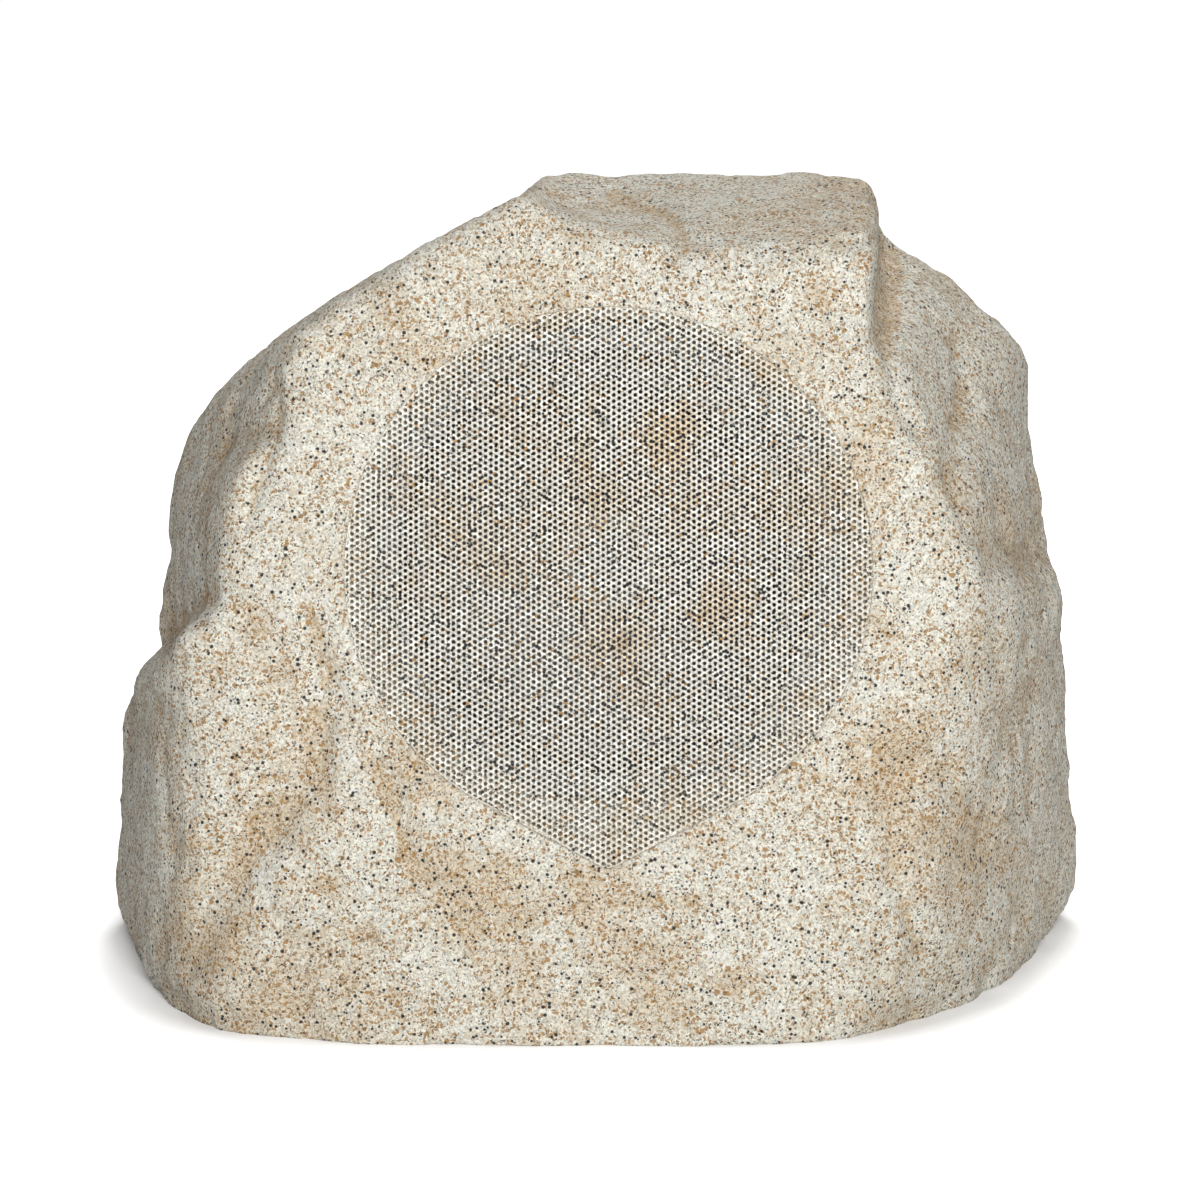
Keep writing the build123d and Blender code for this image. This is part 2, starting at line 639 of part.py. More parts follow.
def cone():
    """Curved cone with a flat lip and a collar on the former."""
    lip = CONE_RADIUS - CONE_LIP
    bottom = CONE_TOP - CONE_THICKNESS
    collar = COIL_RADIUS + CONE_THICKNESS
    middle = (lip + collar)/2
    level = (CONE_TOP + CONE_NECK)/2
    front = ThreePointArc((lip, CONE_TOP), (middle, level + CONE_BULGE), (COIL_RADIUS, CONE_NECK + CONE_COLLAR))
    back = ThreePointArc((collar, CONE_NECK), (middle, level + CONE_BULGE - CONE_THICKNESS*2), (lip, bottom))
    profile = Wire([
        front,
        Line((COIL_RADIUS, CONE_NECK + CONE_COLLAR), (COIL_RADIUS, CONE_NECK)),
        Line((COIL_RADIUS, CONE_NECK), (collar, CONE_NECK)),
        back,
        Line((lip, bottom), (CONE_RADIUS, bottom)),
        Line((CONE_RADIUS, bottom), (CONE_RADIUS, CONE_TOP)),
        Line((CONE_RADIUS, CONE_TOP), (lip, CONE_TOP)),
    ])
    return on_driver(revolve(Plane.XZ*make_face(profile), Axis.Z))


def voice_coil_former():
    return on_driver(tube(COIL_RADIUS, COIL_RADIUS - FORMER_WALL, FORMER_BOTTOM, FORMER_TOP))


def voice_coil():
    low = TOP_PLATE_MIDDLE - WINDING_LENGTH/2
    return on_driver(tube(COIL_RADIUS + WINDING_WALL, COIL_RADIUS, low, low + WINDING_LENGTH))


def dust_ring():
    """Felt ring on the former's inside, clear of the tweeter's post."""
    outer = COIL_RADIUS - FORMER_WALL
    return on_driver(tube(outer, POST_SHOULDER + RUNNING_GAP, FORMER_TOP - DUST_RING_THICKNESS, FORMER_TOP))


def spider():
    """Corrugated disc from the former to the basket's shelf."""
    outer = BASKET_BASE - BASKET_WALL - RUNNING_GAP
    reach = SHELF_INNER - COIL_RADIUS
    half_wave = reach/(2*SPIDER_WAVES + 1)
    low, high = SHELF_LEVEL, SHELF_LEVEL + SPIDER_SHEET
    upper = [(COIL_RADIUS, high)]
    for i in range(2*SPIDER_WAVES):
        side = SPIDER_WAVE if i % 2 == 0 else -SPIDER_WAVE
        upper.append((COIL_RADIUS + half_wave*(i + 1), high + side))
    upper += [(SHELF_INNER, high), (outer, high)]
    lower = [(radius, level - SPIDER_SHEET) for radius, level in reversed(upper)]
    return on_driver(turned(*upper, *lower))


def top_plate():
    return on_driver(tube(TOP_PLATE_RADIUS, GAP_RADIUS, MAGNET_TOP, BASKET_BOTTOM))


def magnet():
    return on_driver(tube(MAGNET_RADIUS, MAGNET_BORE, YOKE_TOP, MAGNET_TOP))


def pole_yoke():
    """Back plate and pole in one piece, bored for the tweeter's post."""
    body = rod(YOKE_RADIUS, YOKE_BOTTOM, YOKE_TOP) + rod(POLE_RADIUS, YOKE_TOP, BASKET_BOTTOM)
    return on_driver(body - rod(POST_RADIUS + THREAD_CLEARANCE, YOKE_BOTTOM, BASKET_BOTTOM))


def tweeter_post():
    """Hollow post that shoulders on the pole and carries the tweeter."""
    body = rod(POST_RADIUS, POST_END, BASKET_BOTTOM) + rod(POST_SHOULDER, BASKET_BOTTOM, CUP_BOTTOM)
    return on_driver(body - rod(POST_BORE, POST_END, CUP_BOTTOM))


def post_nut():
    nut = hexagon_prism(POST_NUT, YOKE_BOTTOM - POST_NUT_THICKNESS, YOKE_BOTTOM)
    return on_driver(nut - rod(POST_RADIUS + THREAD_CLEARANCE, YOKE_BOTTOM - POST_NUT_THICKNESS, YOKE_BOTTOM))


def tweeter_cup():
    cup = rod(TWEETER_RADIUS, CUP_BOTTOM, CUP_TOP)
    cup -= rod(TWEETER_RADIUS - TWEETER_CUP_WALL, CUP_BOTTOM + TWEETER_CUP_FLOOR, CUP_TOP)
    return on_driver(cup - rod(POST_BORE, CUP_BOTTOM, CUP_TOP))


def tweeter_magnet():
    low = CUP_BOTTOM + TWEETER_CUP_FLOOR
    return on_driver(tube(TWEETER_MAGNET_RADIUS, POST_BORE, low, low + TWEETER_MAGNET_THICKNESS))


def tweeter_plate():
    low = CUP_BOTTOM + TWEETER_CUP_FLOOR + TWEETER_MAGNET_THICKNESS
    return on_driver(rod(TWEETER_PLATE_RADIUS, low, low + TWEETER_PLATE_THICKNESS))


def tweeter_dome():
    """Dome and flat edge, formed from one sheet."""
    edge, low, high = TWEETER_RADIUS, CUP_TOP, CUP_TOP + DOME_SHEET
    top = Line((edge, low), (edge, high)) + Line((edge, high), (DOME_RADIUS, high))
    outer_reach = (DOME_RADIUS**2 + DOME_RISE**2)/(2*DOME_RISE)
    inner_radius = DOME_RADIUS - DOME_SHEET
    inner_reach = (inner_radius**2 + DOME_RISE**2)/(2*DOME_RISE)
    outer_half = math.asin(DOME_RADIUS/outer_reach)/2
    inner_half = math.asin(inner_radius/inner_reach)/2
    outer_mid = (outer_reach*math.sin(outer_half), high + DOME_RISE - outer_reach*(1 - math.cos(outer_half)))
    inner_mid = (inner_reach*math.sin(inner_half), low + DOME_RISE - inner_reach*(1 - math.cos(inner_half)))
    profile = Wire([
        *top.edges(),
        ThreePointArc((DOME_RADIUS, high), outer_mid, (0, high + DOME_RISE)),
        Line((0, high + DOME_RISE), (0, low + DOME_RISE)),
        ThreePointArc((0, low + DOME_RISE), inner_mid, (inner_radius, low)),
        Line((inner_radius, low), (edge, low)),
    ])
    return on_driver(revolve(Plane.XZ*make_face(profile), Axis.Z))


def tweeter_face():
    low = CUP_TOP + DOME_SHEET
    inner = DOME_RADIUS + RUNNING_GAP
    return on_driver(turned(
        (TWEETER_RADIUS, low), (TWEETER_RADIUS, low + TWEETER_FACE_THICKNESS),
        (inner + TWEETER_FACE_THICKNESS, low + TWEETER_FACE_THICKNESS), (inner, low),
    ))


TAB_FACE = -(BASKET_BASE + TAB_THICKNESS)


def terminal_strip():
    strip = Box(STRIP_WIDTH, STRIP_THICKNESS, TAB_HEIGHT, align=(Align.CENTER, Align.MAX, Align.MIN))
    return on_driver(Pos(0, TAB_FACE, BASKET_BOTTOM)*strip)


def terminal_tags():
    tag = Box(TAG_WIDTH, TAG_THICKNESS, TAB_HEIGHT, align=(Align.CENTER, Align.MAX, Align.MIN))
    level = BASKET_BOTTOM - TAG_OVERHANG
    places = (-TAG_SPACING/2, TAG_SPACING/2)
    return group([on_driver(Pos(x, TAB_FACE - STRIP_THICKNESS, level)*tag) for x in places])


def base_plate():
    """Flat plate in the foot's rebate, with standoffs for the crossover."""
    plate = foot_slab(FOOT_RIM + BASE_CLEARANCE, 0, BASE_THICKNESS)
    for place in board_corners():
        plate += Pos(*place)*rod(STANDOFF_RADIUS, BASE_THICKNESS, BOARD_BOTTOM)
    for place in board_corners():
        end = BOARD_TOP - BOARD_SCREW_LENGTH
        plate -= Pos(*place)*rod((BOARD_SCREW_SHANK + SCREW_CLEARANCE)/2, end, BOARD_BOTTOM)
    hole = SCREW_CLEARANCE/2
    head, shank = SCREW_HEAD/2 + hole, SCREW_SHANK/2 + hole
    cutter = turned((0, 0), (head, 0), (shank, head - shank), (shank, BASE_THICKNESS), (0, BASE_THICKNESS))
    for turn in BASE_TURNS:
        plate -= Pos(*foot_place(turn, BASE_SCREW_INSET))*cutter
    return plate


def base_gasket():
    ring = foot_slab(FOOT_RIM + BASE_CLEARANCE, BASE_THICKNESS, LEDGE_LEVEL)
    ring -= foot_slab(FOOT_RIM + FOOT_LEDGE, BASE_THICKNESS, LEDGE_LEVEL)
    for turn in BASE_TURNS:
        place = foot_place(turn, BASE_SCREW_INSET)
        ring -= Pos(*place)*rod((SCREW_SHANK + SCREW_CLEARANCE)/2, BASE_THICKNESS, LEDGE_LEVEL)
    return ring


def base_screws():
    screw = flat_screw(SCREW_SHANK, SCREW_LENGTH, SCREW_HEAD, SCREW_SOCKET)
    return group([Pos(*foot_place(turn, BASE_SCREW_INSET))*screw for turn in BASE_TURNS])


def board_corners():
    x, y = BOARD_LENGTH/2 - STANDOFF_INSET, BOARD_WIDTH/2 - STANDOFF_INSET
    return [(sx*x, BOARD_Y + sy*y) for sx in (-1, 1) for sy in (-1, 1)]


def crossover_board():
    board = Box(BOARD_LENGTH, BOARD_WIDTH, BOARD_THICKNESS, align=(Align.CENTER, Align.CENTER, Align.MIN))
    board = Pos(0, BOARD_Y, BOARD_BOTTOM)*board
    for place in board_corners():
        board -= Pos(*place)*rod((BOARD_SCREW_SHANK + SCREW_CLEARANCE)/2, BOARD_BOTTOM, BOARD_TOP)
    return board


def board_screws():
    screw = pan_screw(
        BOARD_SCREW_SHANK, BOARD_SCREW_LENGTH, BOARD_SCREW_HEAD, BOARD_SCREW_HEAD_HEIGHT, BOARD_SCREW_SOCKET
    )
    return group([Pos(*place, BOARD_TOP)*screw for place in board_corners()])


def inductor_bobbin():
    """Spool that stands on the board."""
    spool = turned(
        (BOBBIN_BORE, 0), (BOBBIN_RADIUS, 0), (BOBBIN_RADIUS, BOBBIN_FLANGE), (BOBBIN_CORE, BOBBIN_FLANGE),
        (BOBBIN_CORE, BOBBIN_HEIGHT - BOBBIN_FLANGE), (BOBBIN_RADIUS, BOBBIN_HEIGHT - BOBBIN_FLANGE),
        (BOBBIN_RADIUS, BOBBIN_HEIGHT), (BOBBIN_BORE, BOBBIN_HEIGHT),
    )
    return Pos(INDUCTOR_X, BOARD_Y, BOARD_TOP)*spool


def inductor_coil():
    coil = tube(BOBBIN_CORE + COIL_DEPTH, BOBBIN_CORE, BOBBIN_FLANGE, BOBBIN_HEIGHT - BOBBIN_FLANGE)
    return Pos(INDUCTOR_X, BOARD_Y, BOARD_TOP)*coil


def pins(length, x, y, level):
    """Two wire pins under a part that lies along X."""
    return [Pos(x + side*length/2, y, BOARD_TOP)*rod(PIN_RADIUS, 0, level) for side in (-1, 1)]


def capacitor():
    """Film capacitor lying on the board."""
    y, level = BOARD_Y + CAPACITOR_Y, BOARD_TOP + CAPACITOR_RADIUS
    body = Pos(CAPACITOR_X, y, level)*(Rot(0, 90, 0)*Cylinder(CAPACITOR_RADIUS, CAPACITOR_LENGTH))
    body = fillet(body.edges(), PIN_LENGTH/2)
    return body + pins(CAPACITOR_LENGTH - 2*PIN_LENGTH, CAPACITOR_X, y, CAPACITOR_RADIUS)


def resistor():
    """Ceramic block resistor, just clear of the board on its pins."""
    y = BOARD_Y + RESISTOR_Y
    block = Box(RESISTOR_LENGTH, RESISTOR_SIDE, RESISTOR_SIDE, align=(Align.CENTER, Align.CENTER, Align.MIN))
    body = Pos(RESISTOR_X, y, BOARD_TOP + PIN_LENGTH)*block
    return body + pins(RESISTOR_LENGTH - 2*PIN_LENGTH, RESISTOR_X, y, PIN_LENGTH + PIN_RADIUS)


def gland_location(depth):
    """Local frame on the gland's axis, with Z pointing out of the back."""
    plane = Plane(origin=(GLAND_X, depth, GLAND_Z), x_dir=(1, 0, 0), z_dir=(0, 1, 0))
    return Location(plane)


@functools.lru_cache(maxsize=None)
def gland_back():
    """Where the gland's axis leaves the facets. The skin lofted through the rings lies up to
    3 mm further in, so the spot face is cut deeper than that."""
    low, high = 0.0, ROCK_DEPTH
    for _ in range(HALVINGS):
        depth = (low + high)/2
        place = (GLAND_X, depth, GLAND_Z)
        offset = tuple(p - c for p, c in zip(place, CENTRE))
        reach = math.sqrt(dot(offset, offset))
        edge = rock_point(tuple(o/reach for o in offset))
        if dot(tuple(e - c for e, c in zip(edge, CENTRE)), offset) > reach**2:
            low = depth
        else:
            high = depth
    return low


def gland_faces():
    """Levels of the pad inside the wall and of the spot face outside it."""
    spot_face = gland_back() - GLAND_SPOT_DEPTH
    return gland_back() - WALL - GLAND_PAD, spot_face


def on_gland(piece):
    return gland_location(gland_back() - GLAND_SPOT_DEPTH)*piece


GLAND_WALL = WALL + GLAND_PAD - GLAND_SPOT_DEPTH


def gland_body():
    """Hexagon flange on the spot face, with a thread through the wall and a stub outside."""
    stub_end = GLAND_HEX_THICKNESS + GLAND_STUB
    inner_end = -GLAND_WALL - LOCKNUT_THICKNESS - GLAND_BORE/2
    body = hexagon_prism(GLAND_HEX, 0, GLAND_HEX_THICKNESS) + rod(GLAND_THREAD, inner_end, stub_end)
    pocket = GLAND_SEAL_RADIUS + THREAD_CLEARANCE
    body -= rod(GLAND_BORE, inner_end, stub_end)
    return on_gland(body - rod(pocket, stub_end - GLAND_STUB, stub_end))


def gland_seal():
    low = GLAND_HEX_THICKNESS
    return on_gland(tube(GLAND_SEAL_RADIUS, CABLE_RADIUS, low, low + GLAND_SEAL_LENGTH))


def gland_cap():
    """Domed nut that presses the seal."""
    low = GLAND_HEX_THICKNESS
    shoulder = low + GLAND_SEAL_LENGTH
    end = low + GLAND_CAP_LENGTH
    return on_gland(turned(
        (GLAND_THREAD + THREAD_CLEARANCE, low), (GLAND_CAP_RADIUS, low), (GLAND_CAP_RADIUS, shoulder),
        (GLAND_THREAD, end), (GLAND_CAP_BORE, end), (GLAND_CAP_BORE, shoulder),
        (GLAND_THREAD + THREAD_CLEARANCE, shoulder),
    ))


def gland_locknut():
    low = -GLAND_WALL - LOCKNUT_THICKNESS
    nut = hexagon_prism(LOCKNUT_HEX, low, -GLAND_WALL)
    return on_gland(nut - rod(GLAND_THREAD + THREAD_CLEARANCE, low, -GLAND_WALL))


def wadding():
    """Polyester blanket that lines the back wall."""
    blanket = inner_lump(WALL + WADDING_GAP) - inner_lump(WALL + WADDING_THICKNESS)
    height = WADDING_TOP - WADDING_BOTTOM
    block = Box(2*WADDING_HALF_WIDTH, ROCK_DEPTH, height, align=(Align.CENTER, Align.MIN, Align.MIN))
    blanket &= Pos(CENTRE[0], WADDING_FRONT_Y, WADDING_BOTTOM)*block
    return blanket.solids().sort_by(SortBy.VOLUME)[-1]


def driver_point(x, y, level):
    """Place in the rock's frame of a point given on the driver's axes."""
    side = (x, 0.0, 0.0)
    return tuple(a + s + y*u + level*f for a, s, u, f in zip(AXIS_POINT, side, FRONT_UP, FRONT))


BACKWARDS = tuple(-f for f in FRONT)
DOWN = (0, 0, -1)


def woofer_leads():
    """Two wires from the tags to the crossover board."""
    wires = []
    for side in (-1, 1):
        x = side*TAG_SPACING/2
        start = driver_point(x, TAB_FACE - STRIP_THICKNESS - TAG_THICKNESS/2, BASKET_BOTTOM - TAG_OVERHANG)
        path = Spline(start, (x, WOOFER_LEAD_Y, BOARD_TOP), tangents=(BACKWARDS, DOWN))
        wires.append(sweep(Plane(start, z_dir=BACKWARDS)*Circle(WOOFER_LEAD_RADIUS), path))
    return group(wires)


def tweeter_leads():
    """Two wires from the tweeter through the post to the crossover board."""
    top = CUP_BOTTOM + TWEETER_CUP_FLOOR + TWEETER_MAGNET_THICKNESS
    wires = []
    for side in (-1, 1):
        start = driver_point(side*TWEETER_LEAD_OFFSET, 0, top)
        bend = driver_point(side*TWEETER_LEAD_OFFSET, 0, POST_END)
        end = (side*TWEETER_LEAD_SPREAD, TWEETER_LEAD_Y, BOARD_TOP)
        path = Wire([Line(start, bend), Spline(bend, end, tangents=(BACKWARDS, DOWN))])
        wires.append(sweep(Plane(start, z_dir=BACKWARDS)*Circle(TWEETER_LEAD_RADIUS), path))
    return group(wires)


def build():
    outer = rock_lump(0.0, OUTER_RAYS, OUTER_RINGS, RIDGE_SHARPNESS)
    return {
        "rock_shell": rock_shell(outer),
        "grille": grille(),
        "driver_gasket": driver_gasket(),
        "driver_basket": driver_basket(),
        "driver_screws": driver_screws(),
        "surround": surround(),
        "cone": cone(),
        "voice_coil_former": voice_coil_former(),
        "voice_coil": voice_coil(),
        "dust_ring": dust_ring(),
        "spider": spider(),
        "top_plate": top_plate(),
        "magnet": magnet(),
        "pole_yoke": pole_yoke(),
        "tweeter_post": tweeter_post(),
        "post_nut": post_nut(),
        "tweeter_cup": tweeter_cup(),
        "tweeter_magnet": tweeter_magnet(),
        "tweeter_plate": tweeter_plate(),
        "tweeter_dome": tweeter_dome(),
        "tweeter_face": tweeter_face(),
        "terminal_strip": terminal_strip(),
        "terminal_tags": terminal_tags(),
        "base_plate": base_plate(),
        "base_gasket": base_gasket(),
        "base_screws": base_screws(),
        "crossover_board": crossover_board(),
        "board_screws": board_screws(),
        "inductor_bobbin": inductor_bobbin(),
        "inductor_coil": inductor_coil(),
        "capacitor": capacitor(),
        "resistor": resistor(),
        "gland_body": gland_body(),
        "gland_seal": gland_seal(),
        "gland_cap": gland_cap(),
        "gland_locknut": gland_locknut(),
        "wadding": wadding(),
        "woofer_leads": woofer_leads(),
        "tweeter_leads": tweeter_leads(),
    }


os.makedirs("parts", exist_ok=True)
for name, piece in build().items():
    export_step(piece, f"parts/{name}.step")
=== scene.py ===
import json
import math

import bmesh
import bpy
import numpy as np
from mathutils import Matrix, Vector
from mathutils.bvhtree import BVHTree


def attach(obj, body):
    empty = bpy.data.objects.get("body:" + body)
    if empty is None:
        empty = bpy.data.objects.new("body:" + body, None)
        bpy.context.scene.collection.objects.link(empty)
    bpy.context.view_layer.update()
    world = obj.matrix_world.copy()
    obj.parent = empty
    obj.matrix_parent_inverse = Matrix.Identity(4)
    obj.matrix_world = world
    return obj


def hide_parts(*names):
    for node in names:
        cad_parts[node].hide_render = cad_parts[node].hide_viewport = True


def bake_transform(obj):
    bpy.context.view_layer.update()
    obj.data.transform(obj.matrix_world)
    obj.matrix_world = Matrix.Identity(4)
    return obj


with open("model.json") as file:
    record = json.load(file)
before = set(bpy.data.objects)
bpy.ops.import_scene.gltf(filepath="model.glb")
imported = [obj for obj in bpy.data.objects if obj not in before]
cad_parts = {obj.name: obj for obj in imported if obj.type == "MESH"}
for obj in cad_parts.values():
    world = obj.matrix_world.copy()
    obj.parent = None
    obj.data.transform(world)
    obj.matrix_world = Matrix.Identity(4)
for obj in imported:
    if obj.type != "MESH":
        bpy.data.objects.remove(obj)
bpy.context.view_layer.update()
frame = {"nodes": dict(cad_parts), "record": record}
nodes = frame["nodes"]
MM = 0.001

# Front of the rock: it leans back, and the driver looks out along its normal
ROCK_CENTRE = Vector((5, 0, 140))*MM
FRONT_LEAN = math.radians(12)
FRONT_REACH = 112*MM
ACROSS = Vector((1, 0, 0))
OUTWARD = Vector((0, -math.cos(FRONT_LEAN), math.sin(FRONT_LEAN)))
UPWARD = Vector((0, math.sin(FRONT_LEAN), math.cos(FRONT_LEAN)))

# Grille: a sheet shaped as a circle drawn down to a point, with a rim turned back behind it
GRILLE_RISE = 1.5*MM
GRILLE_SINK = 2.5*MM
GRILLE_RADIUS = 93.3*MM
GRILLE_TIP = 105.8*MM
GRILLE_TIP_ROUNDED = 105.1*MM
GRILLE_SHEET = 1.0*MM
GRILLE_RIM = 4*MM
GRILLE_WALL = 0.5*MM
RIM_INSET = 0.05*MM
RIM_GAP = 0.02*MM
RECESS_GAP = 1.2*MM
HOLE_PITCH = 2.18*MM
HOLE_RADIUS = 0.76*MM
HOLE_JOIN = 0.02*MM
EDGE_STEPS = 360

# Driver: its two soft rings, with the radius that moves with the cone and the radius that is held
DRIVER_RISE = 5*MM
SOFT_RINGS = {"surround": (60*MM, 71*MM), "spider": (16.1*MM, 36*MM)}
RING_SECTORS = 24
RING_SHARP = math.radians(30)

# Skin of the rock: rays from all round find the shell's outside
SKIN_COLUMNS = 540
SKIN_ROWS = 230
SKIN_RAY_START = 0.5
SKIN_NEAREST = 60*MM
SKIN_FIRST = 100*MM
SKIN_BELOW_FLOOR = 8*MM
SKIN_VOXEL = 2.32*MM
SKIN_SMOOTHING = 0.5
SKIN_SMOOTHINGS = 4
SKIN_SHARP = math.radians(42)
SHELL_JOIN = 0.002*MM
FRONT_FACING = 0.6
BACK_FACING = 0.5
FOOT_EDGE = 0.4*MM
FOOT_HIGHEST = math.radians(-10)
FOOT_LOWEST = math.radians(-75)
FOOT_TRIES = 24
GLAND_BACK = 145*MM
GLAND_HEIGHT = 34*MM
GLAND_FILL = 15.8*MM
GLAND_RING = 17.5*MM
GLAND_RING_STEPS = 16

# Wear of the skin, inwards from the shell's outside, and how much of the wall it leaves
WEAR = {
    "Margin": 0.4*MM,
    "Chip Size": 44*MM, "Chip Depth": 2.6*MM,
    "Ripple Size": 15*MM, "Ripple Depth": 1.0*MM,
    "Grain Size": 4.2*MM, "Grain Depth": 0.35*MM,
    "Calm Reach": 106*MM, "Calm Fade": 24*MM,
}
# For each kind: detail of its noise, and the noise values at which it begins and is full
WEAR_NOISE = {"Chip": (3.0, 0.42, 0.70), "Ripple": (3.0, 0.30, 0.70), "Grain": (2.0, 0.25, 0.75)}
WEAR_ROUGHNESS = 0.55
WEAR_BEND = 0.5
CALM_LEAST = 0.12
CALM_ENDS = -50*MM
CALM_GONE = -90*MM
WEAR_DEEPEST = 4.8*MM
WALL_LEFT = 2*MM
WALL_RAY_START = 3*MM
WALL_RAY_STEP = 0.2*MM
WALL_RAY = 12*MM
# Finding hollows for the ochre painted shade: rounds of smoothing, and the depth of a fully shaded hollow
CREASE_REACH = 24
CREASE_DEPTH = 1.4*MM

# Grooves of the rock, as seen from the front: half width, depth and the places they run
# through, across and up from the camera's target. All in millimetres.
GROOVES = {
    "left_groove": (7.5, 4.4, [(-105, -47), (-107, -67), (-126, -86), (-140, -108), (-154, -136)]),
    "chin": (3.5, 3.2, [(-84, -61), (-75, -80), (-73, -95), (-62, -105)]),
    "cheek": (3.0, 2.0, [(-109, -2), (-104, -19), (-103, -33)]),
    "right_nick": (2.6, 1.8, [(89, -53), (74, -71)]),
    "right_valley": (5.0, 3.6, [(113, -64), (107, -74), (112, -104), (121, -132)]),
    "right_low": (6.0, 3.4, [(164, -33), (153, -61), (143, -93)]),
    "crown_notch": (4.0, 3.4, [(4, 153), (24, 147), (34, 137), (28, 128)]),
    "crown_ledge": (4.5, 3.4, [(35, 137), (52, 141), (74, 138), (104, 135)]),
    "shoulder": (4.5, 3.8, [(109, 136), (110, 112), (109, 97), (113, 74), (121, 63)]),
    "shoulder_rib": (4.0, 3.2, [(134, 100), (137, 82), (135, 67)]),
    "waist": (6.0, 4.0, [(132, 48), (140, 26), (153, 15), (164, 17)]),
    "brow": (4.5, 3.6, [(-124, 80), (-122, 67), (-127, 48), (-132, 30)]),
    "right_cheek": (2.6, 1.2, [(110, 22), (113, 4), (113, -15), (110, -37)]),
    "chin_low": (6.0, 2.0, [(-30, -104), (-7, -113), (37, -112)]),
}
GROOVE_EDGE = 1.2
# Places where the rock's wall swells or dips, seen the same way: across, up, radius, and how far
# the wall moves across and up
SWELLS = [(2, 160, 20, -18, -1.5), (6, 158, 14, 0, -3), (150, 93, 16, 8, 0)]
# Washes of ochre, seen the same way: across, up, radius and strength
ROCK_WASHES = [
    (-112, -71, 26, 0.7), (-63, -63, 22, 0.7), (-45, -112, 30, 0.8), (-4, -112, 24, 0.6),
    (108, -60, 26, 0.8), (134, -93, 26, 0.8), (-145, -126, 26, 0.8), (100, 153, 22, 0.7),
    (134, 30, 22, 0.5), (-112, -152, 40, 0.6),
]
GRILLE_WASHES = [
    (26, 60, 15, 0.9), (8, -15, 15, 0.8), (45, -4, 16, 0.7), (-34, 66, 14, 0.4), (84, 28, 14, 0.4),
]
FACING_GAIN = 4

# Camera and light, set for the photograph's square frame
CAMERA_TARGET = Vector((2, 0, 131))*MM
CAMERA_DISTANCE = 2.2
CAMERA_RISE = math.radians(12)
CAMERA_LENS = 177.4
CAMERA_SENSOR = 36
KEY_DISTANCE = 2.4
KEY_SIZE = 0.7
KEY_POWER = 52.5
KEY_RISE = math.radians(20)
KEY_ASIDE = 0.08
TOP_AIM = Vector((0.1, 0.6, 0.79))
TOP_DISTANCE = 1.9
TOP_SIZE = 0.8
TOP_POWER = 18
AMBIENT = 0.06
FLOOR_SIZE = 14
FLOOR_GLOW = 0.93
FLOOR_WHITE = 0.9
FLOOR_ROUGHNESS = 0.9
# Painted contact shadow on the floor: reach, steepness and rays of the occlusion that dims the glow
PAINTED_SHADOW_REACH = 0.03
PAINTED_SHADOW_DEPTH = 3.0
PAINTED_SHADOW_RAYS = 2


# Small tools for node trees

def add(tree, kind, inputs=None, **settings):
    """Adds a node. An input given as a socket is linked, and any other value is set."""
    made = tree.nodes.new(kind)
    for name, value in settings.items():
        setattr(made, name, value)
    for name, value in (inputs or {}).items():
        socket = made.inputs[name]
        if isinstance(value, bpy.types.NodeSocket):
            tree.links.new(value, socket)
        else:
            socket.default_value = value
    return made


def sum_up(tree, operation, first, second=0.0, third=0.0, clamp=False):
    inputs = {0: first, 1: second, 2: third}
    return add(tree, "ShaderNodeMath", inputs, operation=operation, use_clamp=clamp).outputs[0]


def vector_sum(tree, operation, first, second=(0, 0, 0)):
    made = add(tree, "ShaderNodeVectorMath", {0: first, 1: second}, operation=operation)
    return made.outputs["Value" if operation in ("LENGTH", "DOT_PRODUCT") else "Vector"]


def scaled(tree, vector, factor):
    inputs = {0: vector, "Scale": factor}
    return add(tree, "ShaderNodeVectorMath", inputs, operation="SCALE").outputs[0]


def blend(tree, factor, under, over, way="MIX"):
    """Colour under, covered by colour over where factor is 1."""
    inputs = {0: factor, 6: under, 7: over}
    return add(tree, "ShaderNodeMix", inputs, data_type="RGBA", blend_type=way).outputs[2]


def shaded(tree, colour, shade):
    """The colour, made darker or lighter by a grey shade."""
    grey = add(tree, "ShaderNodeCombineColor", {0: shade, 1: shade, 2: shade}).outputs[0]
    return blend(tree, 1.0, colour, grey, "MULTIPLY")


def between(tree, value, low, high, start=0.0, end=1.0):
    """Takes value from low..high to start..end, smoothly and no further."""
    inputs = {"Value": value, "From Min": low, "From Max": high, "To Min": start, "To Max": end}
    return add(tree, "ShaderNodeMapRange", inputs, interpolation_type="SMOOTHSTEP").outputs[0]


def noise(tree, place, per_mm, detail=2.0, rough=0.5, bend=0.0):
    inputs = {"Vector": place, "Scale": per_mm, "Detail": detail, "Roughness": rough, "Distortion": bend}
    return add(tree, "ShaderNodeTexNoise", inputs).outputs


def new_group(name, inputs):
    """A shader node group for a finish, with named sockets, and its input and output sockets."""
    group = bpy.data.node_groups.new(name, "ShaderNodeTree")
    for socket, kind, value in [("Place", "Vector", None)] + inputs:
        made = group.interface.new_socket(socket, in_out="INPUT", socket_type="NodeSocket" + kind)
        if value is not None:
            made.default_value = value
    for socket, kind in (("Color", "Color"), ("Roughness", "Float"), ("Height", "Float")):
        group.interface.new_socket(socket, in_out="OUTPUT", socket_type="NodeSocket" + kind)
    given = group.nodes.new("NodeGroupInput").outputs
    return group, given, group.nodes.new("NodeGroupOutput").inputs


def give(group, out, colour, roughness, height):
    for socket, value in (("Color", colour), ("Roughness", roughness), ("Height", height)):
        group.links.new(value, out[socket])
    return group


def rgb(red, green, blue):
    return (red, green, blue, 1.0)


# Finishes that several materials share

